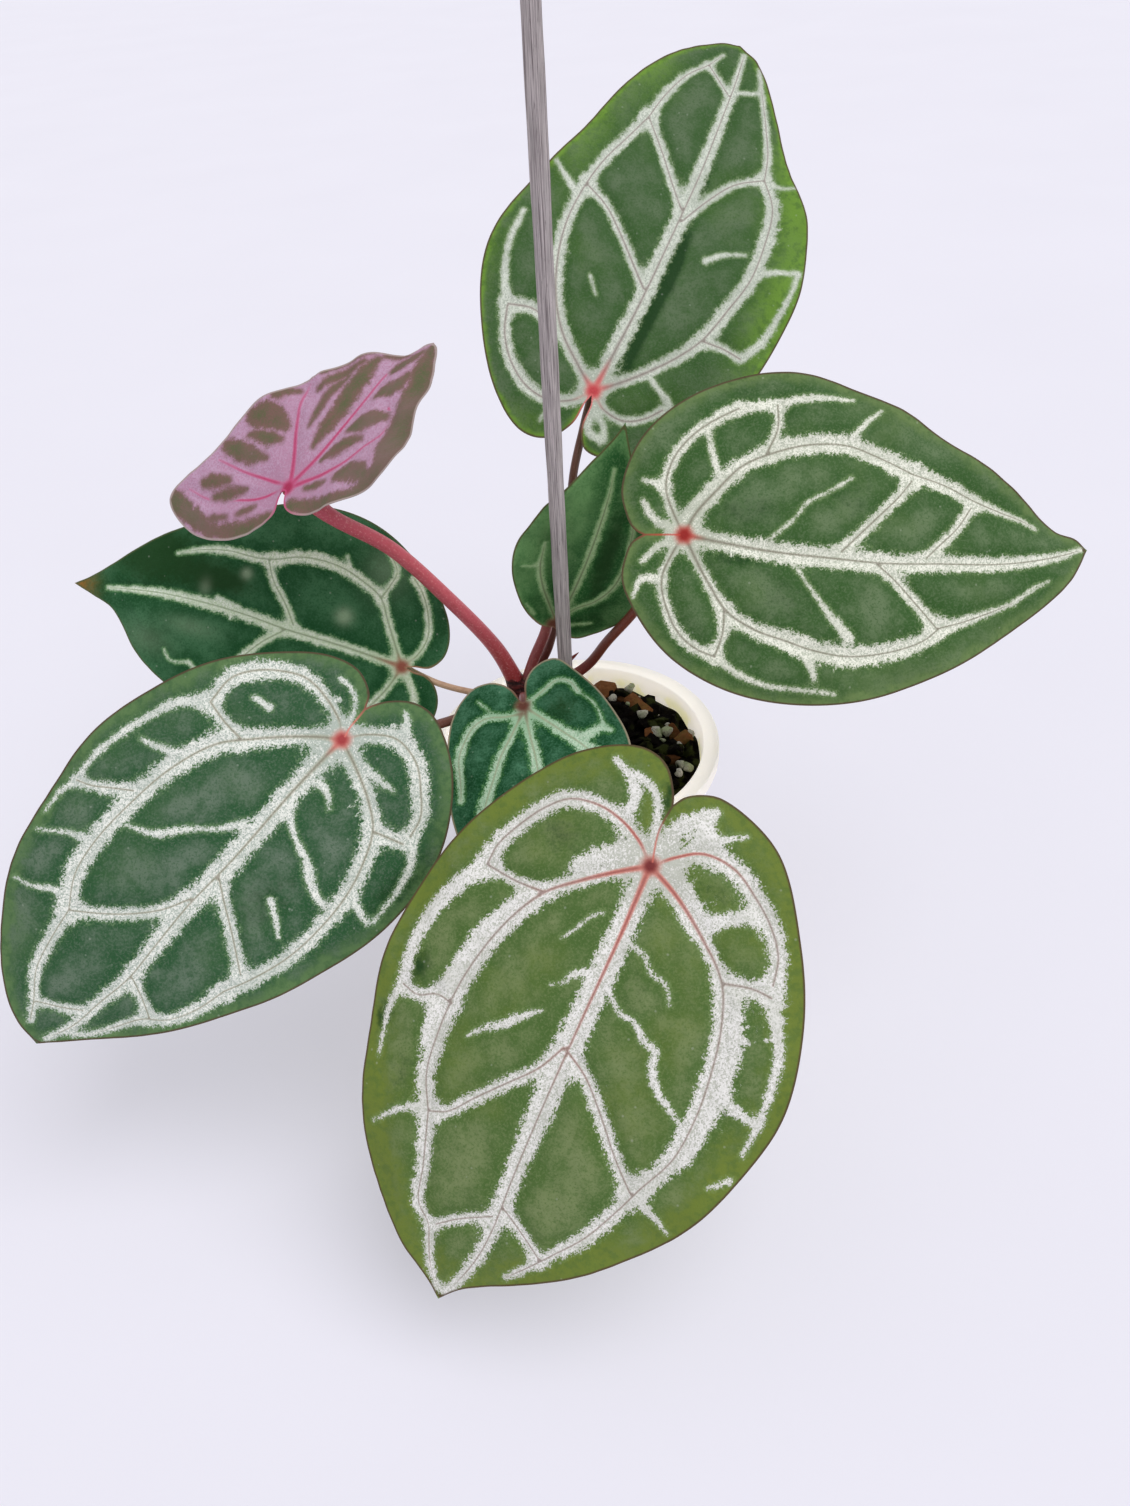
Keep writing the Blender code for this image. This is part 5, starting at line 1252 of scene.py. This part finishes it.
# Young leaf: newly opened at the upper left, on the thickest petiole, rosy red. Soft
# mauve-pink covers most of it, and olive-brown shows in islands between the veins.
leaf = dict(
    attach=(-79, 5, 190), heading=28, lift=29.5, roll=12, length=61, step=0.7,
    arch=3, sides=6, half_width=33, puff=0.9, feather=0.35, blush=60,
    right=[(0.8, -2), (3.5, -4.5), (9, -4.5), (16, 0), (26, 9), (33, 19), (32, 29), (21, 42), (11, 54),
           (4, 60)],
    left=[(-1.6, -2), (0, -5), (1.8, -9), (-2, -16), (-11, -25), (-24, -31.5), (-35, -29), (-31.5, -10),
          (-29, 11), (-20, 30), (-13, 45), (-3, 54), (-2, 59)],
    net=[((3.4, 1.4), [(0, 0), (2, 12), (1.5, 25), (0, 35), (-2, 44), (-3, 54), (-1, 58)]),
         ((4.6, 3.0), [(0, 1), (-6, 8), (-12, 14), (-18, 22), (-21, 30)]),
         ((4.4, 3.0), [(-2, 0), (-10, -3), (-18, -6), (-28, -9)]),
         ((3.4, 2.0), [(-2, -2), (-8, -9), (-15, -14), (-24, -20), (-31, -22)]),
         ((3.0, 2.8), [(2, 2), (8, 9), (13, 17), (15, 24), (17, 30), (15, 35), (10, 37)])],
    patches=[((3.0, 4.4, 4.0, 2.0), [(-26.5, 8), (-23, 11), (-19.5, 12.5), (-16, 12.5)]),
             ((1.0, 2.2, 2.4, 1.2), [(-24, 3.2), (-20, 5.2), (-16.5, 6.8), (-13.5, 8.6)]),
             ((2.4, 3.0, 2.6, 0.8), [(-28, -4), (-23, -2.2), (-18, -0.6), (-13.5, 1.8)]),
             ((1.4, 2.2, 1.2), [(-27.5, -17.5), (-24.5, -14.5), (-20.5, -11)]),
             ((0.8, 1.8, 1.4, 0.6), [(-22.5, -18.5), (-19, -15), (-16, -12), (-13, -9)]),
             ((0.5, 1.2, 0.5), [(-11.5, -17), (-9.5, -14), (-7, -11)]),
             ((3.6, 3.2, 2.6, 2.2, 2.4, 2.2, 1.4),
              [(-33, -28), (-28, -27.5), (-23, -27), (-17, -26), (-11, -22), (-5, -17), (0.5, -10)]),
             ((0.5, 1.2, 0.5), [(-21, -26), (-17, -22), (-14, -19.5)]),
             ((1.8, 1.6, 0.8), [(-25, 17.5), (-23.5, 20.5), (-21, 23)]),
             ((0.8, 2.2, 2.8, 3.3, 2.8, 1.2), [(-1.8, 14), (-2.8, 20), (-4, 28), (-6, 35), (-7.5, 41),
                                               (-8.5, 46)]),
             ((0.6, 1.4, 1.5, 0.7), [(-8, 17.5), (-10, 23.5), (-11.2, 31), (-11, 37)]),
             ((1.0, 1.7, 1.5, 0.8), [(-15.5, 27.5), (-14.4, 33), (-12.8, 38), (-11, 43)]),
             ((1.0, 1.3, 1.3, 0.8), [(-19, 32), (-17, 38), (-14.5, 43), (-11.5, 47)]),
             ((0.7, 1.2, 0.7), [(-8, 48.3), (-5.5, 50.5), (-3, 53)]),
             ((1.4, 2.3, 2.0, 1.0), [(-1, 46.5), (-0.5, 50), (0.5, 54), (0.5, 57)]),
             ((1.4, 2.9, 2.8, 1.2), [(3, 37.5), (4.5, 41), (6, 44), (5.5, 48)]),
             ((1.2, 3.2, 3.2, 1.6), [(5, 24.5), (7.5, 28.5), (10, 32), (12.5, 34.5)]),
             ((1.0, 2.2, 2.3, 1.0), [(4.8, 13), (6.5, 17), (9, 21.5), (11.5, 25)]),
             ((2.0, 3.6, 3.4, 1.6), [(15.5, 12.5), (18.5, 15.5), (22.5, 17.3), (27, 18)]),
             ((0.8, 1.6, 0.8), [(6.5, 3.5), (9, 5.5), (12, 8.5)]),
             ((1.8, 3.4, 4.4, 5.2, 6.0, 4.6, 3.0, 2.8, 2.6, 2.2),
              [(2, 59.5), (8, 52), (14, 45), (20, 37.5), (25.5, 30), (30, 23.5), (28, 13), (22.5, 6.5),
               (15, 1.5), (6, -3.5)])],
    tint=[(26, 26, 7, 7, 0.7), (22, 14, 7, 5, 0.5), (5, 43, 3, 4, 0.4), (9, 30, 6, 6, 0.5),
          (17, 40, 5, 8, 0.5), (-24, -27, 10, 4, 0.5), (-18, -1, 6, 4, 0.3)],
    fray=[(22, 14, 7, 8, 0.45), (-22, -24, 10, 5, 0.4)],
    route=[(-25, 23, 115), (-38, 22, 136), (-54, 19, 159), (-69, 11, 176)])
grow("young", leaf, {
    "Field": (0.21, 0.118, 0.1), "Field Light": (0.115, 0.13, 0.06), "Margin": (0.235, 0.15, 0.14),
    "Silver": (0.558, 0.3496, 0.4968), "Silver Shade": (0.5, 0.26, 0.39), "Fringe": (0.36, 0.19, 0.25),
    "Line": (0.68, 0.2, 0.43), "Heart": (0.62, 0.08, 0.22), "Seat": (0.42, 0.02, 0.08),
    "Rim": (0.45, 0.36, 0.34)},
    under=((0.34, 0.20, 0.20), (0.58, 0.20, 0.30)),
    stalk=((0.42, 0.045, 0.050), (0.58, 0.095, 0.125), (0.46, 0.060, 0.095), (0.78, 0.38, 0.38)),
    slots=("petiole_red", "leaf_pink"), band=0.6, cast=0.1, width=0.45, grit=0.35, sheen_haze=4.2)

# Small back leaf: half folded and bright green. It stands upright behind the stake, on a
# short red petiole straight from the crown.
leaf = dict(
    attach=(-4, 11, 130), heading=7, lift=68, roll=90, length=72, step=0.7,
    arch=3, sides=2, half_width=22, puff=0.7, feather=0.2, blush=6,
    right=[(1, -1.5), (4, -3.5), (10, -3.5), (18.5, 3), (23.5, 15), (23, 29), (15, 45), (7, 59), (2, 68)],
    left=[(-1, -1.5), (-5, -1), (-14, 7), (-22, 23), (-20, 36), (-13, 48), (-5, 61), (-1.5, 68)],
    net=[((0.8, 1.1, 1.3, 1.0, 0.3), [(1, 0), (2, 12), (2.5, 25), (2.5, 38), (2, 50), (1, 58)]),
         ((0.7, 1.0, 0.6), [(1, 2), (5, 8), (10, 12), (14, 19), (15, 26), (14, 36), (12, 45)]),
         ((0.6, 1.0, 1.2, 0.4), [(0, 2), (-5, 9), (-9, 15), (-12, 22), (-13, 30)])],
    wash=[((0.5, 0.2), [(-8, 3), (-12, 7)]),
          ((0.8, 0.3), [(-12, 22), (-18, 21)]),
          ((0.4, 0.3), [(5, 1), (12, 4)])],
    tint=[(-16, 25, 7, 16, 0.7), (-8, 42, 8, 14, 0.6)],
    # Painted shade darkens the right half and the foot of the blade.
    shade=[(8, 30, 4, 20, 0.8), (14, 10, 5, 10, 0.5), (6, 2, 8, 4, 0.5)],
    route=[(-11.5, 19, 112), (-7, 17.5, 123)])
grow("small_back", leaf, {
    "Field": (0.018, 0.1, 0.022), "Field Light": (0.1235, 0.2645, 0.0975),
    "Margin": (0.1512, 0.3059, 0.1092), "Silver": (0.468, 0.624, 0.351),
    "Silver Shade": (0.336, 0.504, 0.238), "Fringe": (0.156, 0.351, 0.117), "Line": (0.22, 0.30, 0.15),
    "Heart": (0.30, 0.16, 0.10), "Seat": (0.18, 0.05, 0.03), "Rim": (0.10, 0.08, 0.03)},
    under=((0.12, 0.24, 0.08), (0.30, 0.38, 0.20)),
    stalk=((0.18, 0.022, 0.026), (0.30, 0.060, 0.060), (0.34, 0.10, 0.08), (0.45, 0.22, 0.18)),
    slots=("petiole_red", "leaf_deep"), band=2.0, cast=0.1, width=0.35, grit=0.5)

# Small front leaf: the darkest, with mint veins. It spreads low over the crown and the
# mix, in front of the stake, on a short red petiole.
leaf = dict(
    attach=(-16, -19, 120), heading=-89, lift=-25, roll=11, length=83, step=0.75,
    arch=3, sides=-3, half_width=31, puff=0.8, feather=0.5, blush=6,
    right=[(0.8, -2), (3, -6.5), (9, -11), (17, -11), (23.5, -3.5), (26, 14), (25, 36), (20, 55),
           (11, 71), (3, 80)],
    left=[(-0.8, -2), (-1, -9), (-5, -15.5), (-11, -17.5), (-19, -9), (-27, 3), (-32.5, 19), (-31, 38),
          (-23, 55), (-12, 70), (-3, 80)],
    net=[((1.0, 1.6, 1.8, 1.6, 0.7), [(-0.5, 0), (-1.5, 10), (-3, 20), (-3.5, 27), (-3, 45), (-2, 60),
                                      (-1, 74)]),
         ((0.9, 1.5, 1.9, 1.4, 0.8), [(0.5, 3), (4, 10), (8, 17), (11, 25), (14, 33), (17, 48), (14, 58),
                                      (8, 68)]),
         ((1.0, 1.5, 1.5, 0.8), [(1, 3), (6, 3), (12, 2), (17, 4), (20, 9), (22, 15), (22, 22), (22, 30)]),
         ((0.9, 2.0, 2.8, 2.0, 0.8), [(-1, 1), (-7, 7), (-13, 13), (-18, 18), (-21, 22), (-24, 32),
                                      (-22, 44), (-17, 55), (-10, 66)]),
         ((0.8, 0.9, 0.7), [(-1, 0), (-6, -4), (-12, -8), (-16, -6), (-18, -2)])],
    wash=[((0.3, 0.2), [(10, 1), (15, -5)]),
          ((0.2, 0.3), [(-18, -2), (-23, 4), (-25, 11)]),
          ((1.4, 0.8), [(-19, 15), (-24, 13), (-27, 14)])],
    # Painted shade darkens the left half near the blade's foot.
    shade=[(-13, 4, 8, 9, 0.6)],
    fray=[(-18, 16, 8, 8, 0.4)],
    route=[(-16.5, 6, 105), (-16, -9, 114)])
grow("small_front", leaf, {
    "Field": (0.004, 0.062, 0.018), "Field Light": (0.075, 0.2188, 0.1232),
    "Margin": (0.040, 0.128, 0.060), "Silver": (0.624, 0.780, 0.611),
    "Silver Shade": (0.360, 0.570, 0.375), "Fringe": (0.128, 0.352, 0.096),
    "Line": (0.330, 0.450, 0.270), "Heart": (0.22, 0.10, 0.07), "Seat": (0.12, 0.03, 0.02),
    "Rim": (0.42, 0.34, 0.24)},
    under=((0.09, 0.18, 0.07), (0.26, 0.33, 0.18)),
    stalk=((0.18, 0.025, 0.026), (0.28, 0.06, 0.05), (0.30, 0.10, 0.07), (0.42, 0.22, 0.16)),
    slots=("petiole_red", "leaf_deep"), band=1.0, cast=0.0, width=0.35, grit=0.7)

# Table top, light and camera: a pale lavender-white sheet with a faint light of its own,
# under an even pale sky and a broad soft sun high on the front right, seen from above
# and in front at the photograph's angle.
FLOOR_HALF = 9000.0
SUN_FROM = Vector((0.45, -0.25, 1.0))
CAMERA_PLACE = (-0.0039, -0.3082, 0.3373)
CAMERA_PITCH, CAMERA_ROLL = radians(39.5), radians(5.0)
FOCAL_PIXELS = 1132.0
LONG_SIDE_PIXELS = 1506
SENSOR_WIDTH = 36.0

paper, tree, shader = new_material("pale table", Roughness=0.8, Emission_Strength=0.27,
                                   Emission_Color=colour(0.93, 0.91, 1.0))
place = node(tree, "TexCoord").outputs["Object"]
shown = blend(tree, cloud(tree, place, 6.0), colour(0.565, 0.553, 0.62), colour(0.595, 0.583, 0.65))
tree.links.new(shown, shader.inputs["Base Color"])
corners = FLOOR_HALF * np.array([(-1, -1, 0), (1, -1, 0), (1, 1, 0), (-1, 1, 0)])
floor = add_mesh("table_top", corners, [(0, 1, 2, 3)], paper)

world = bpy.data.worlds.new("soft room light")
bpy.context.scene.world = world
world.use_nodes = True
sky = world.node_tree.nodes["Background"].inputs
sky["Color"].default_value = colour(0.98, 0.985, 1.0)
sky["Strength"].default_value = 0.64

sun = bpy.data.lights.new("soft daylight", "SUN")
sun.angle = radians(50)
sun.energy = 1.40
lamp = bpy.data.objects.new("soft daylight", sun)
lamp.rotation_euler = (-SUN_FROM).to_track_quat("-Z", "Y").to_euler()
bpy.context.scene.collection.objects.link(lamp)

forward = Vector((0, cos(CAMERA_PITCH), -sin(CAMERA_PITCH)))
level_right, level_up = Vector((1, 0, 0)), Vector((0, sin(CAMERA_PITCH), cos(CAMERA_PITCH)))
right = cos(CAMERA_ROLL) * level_right - sin(CAMERA_ROLL) * level_up
up = sin(CAMERA_ROLL) * level_right + cos(CAMERA_ROLL) * level_up
lens = bpy.data.cameras.new("camera")
lens.sensor_width = SENSOR_WIDTH
lens.lens = SENSOR_WIDTH * FOCAL_PIXELS / LONG_SIDE_PIXELS
lens.clip_start = 0.01
camera = bpy.data.objects.new("camera", lens)
turn = Matrix((right, up, -forward)).transposed().to_4x4()
camera.matrix_world = Matrix.Translation(CAMERA_PLACE) @ turn
bpy.context.scene.collection.objects.link(camera)
bpy.context.scene.camera = camera
bpy.context.scene.view_settings.view_transform = "Standard"
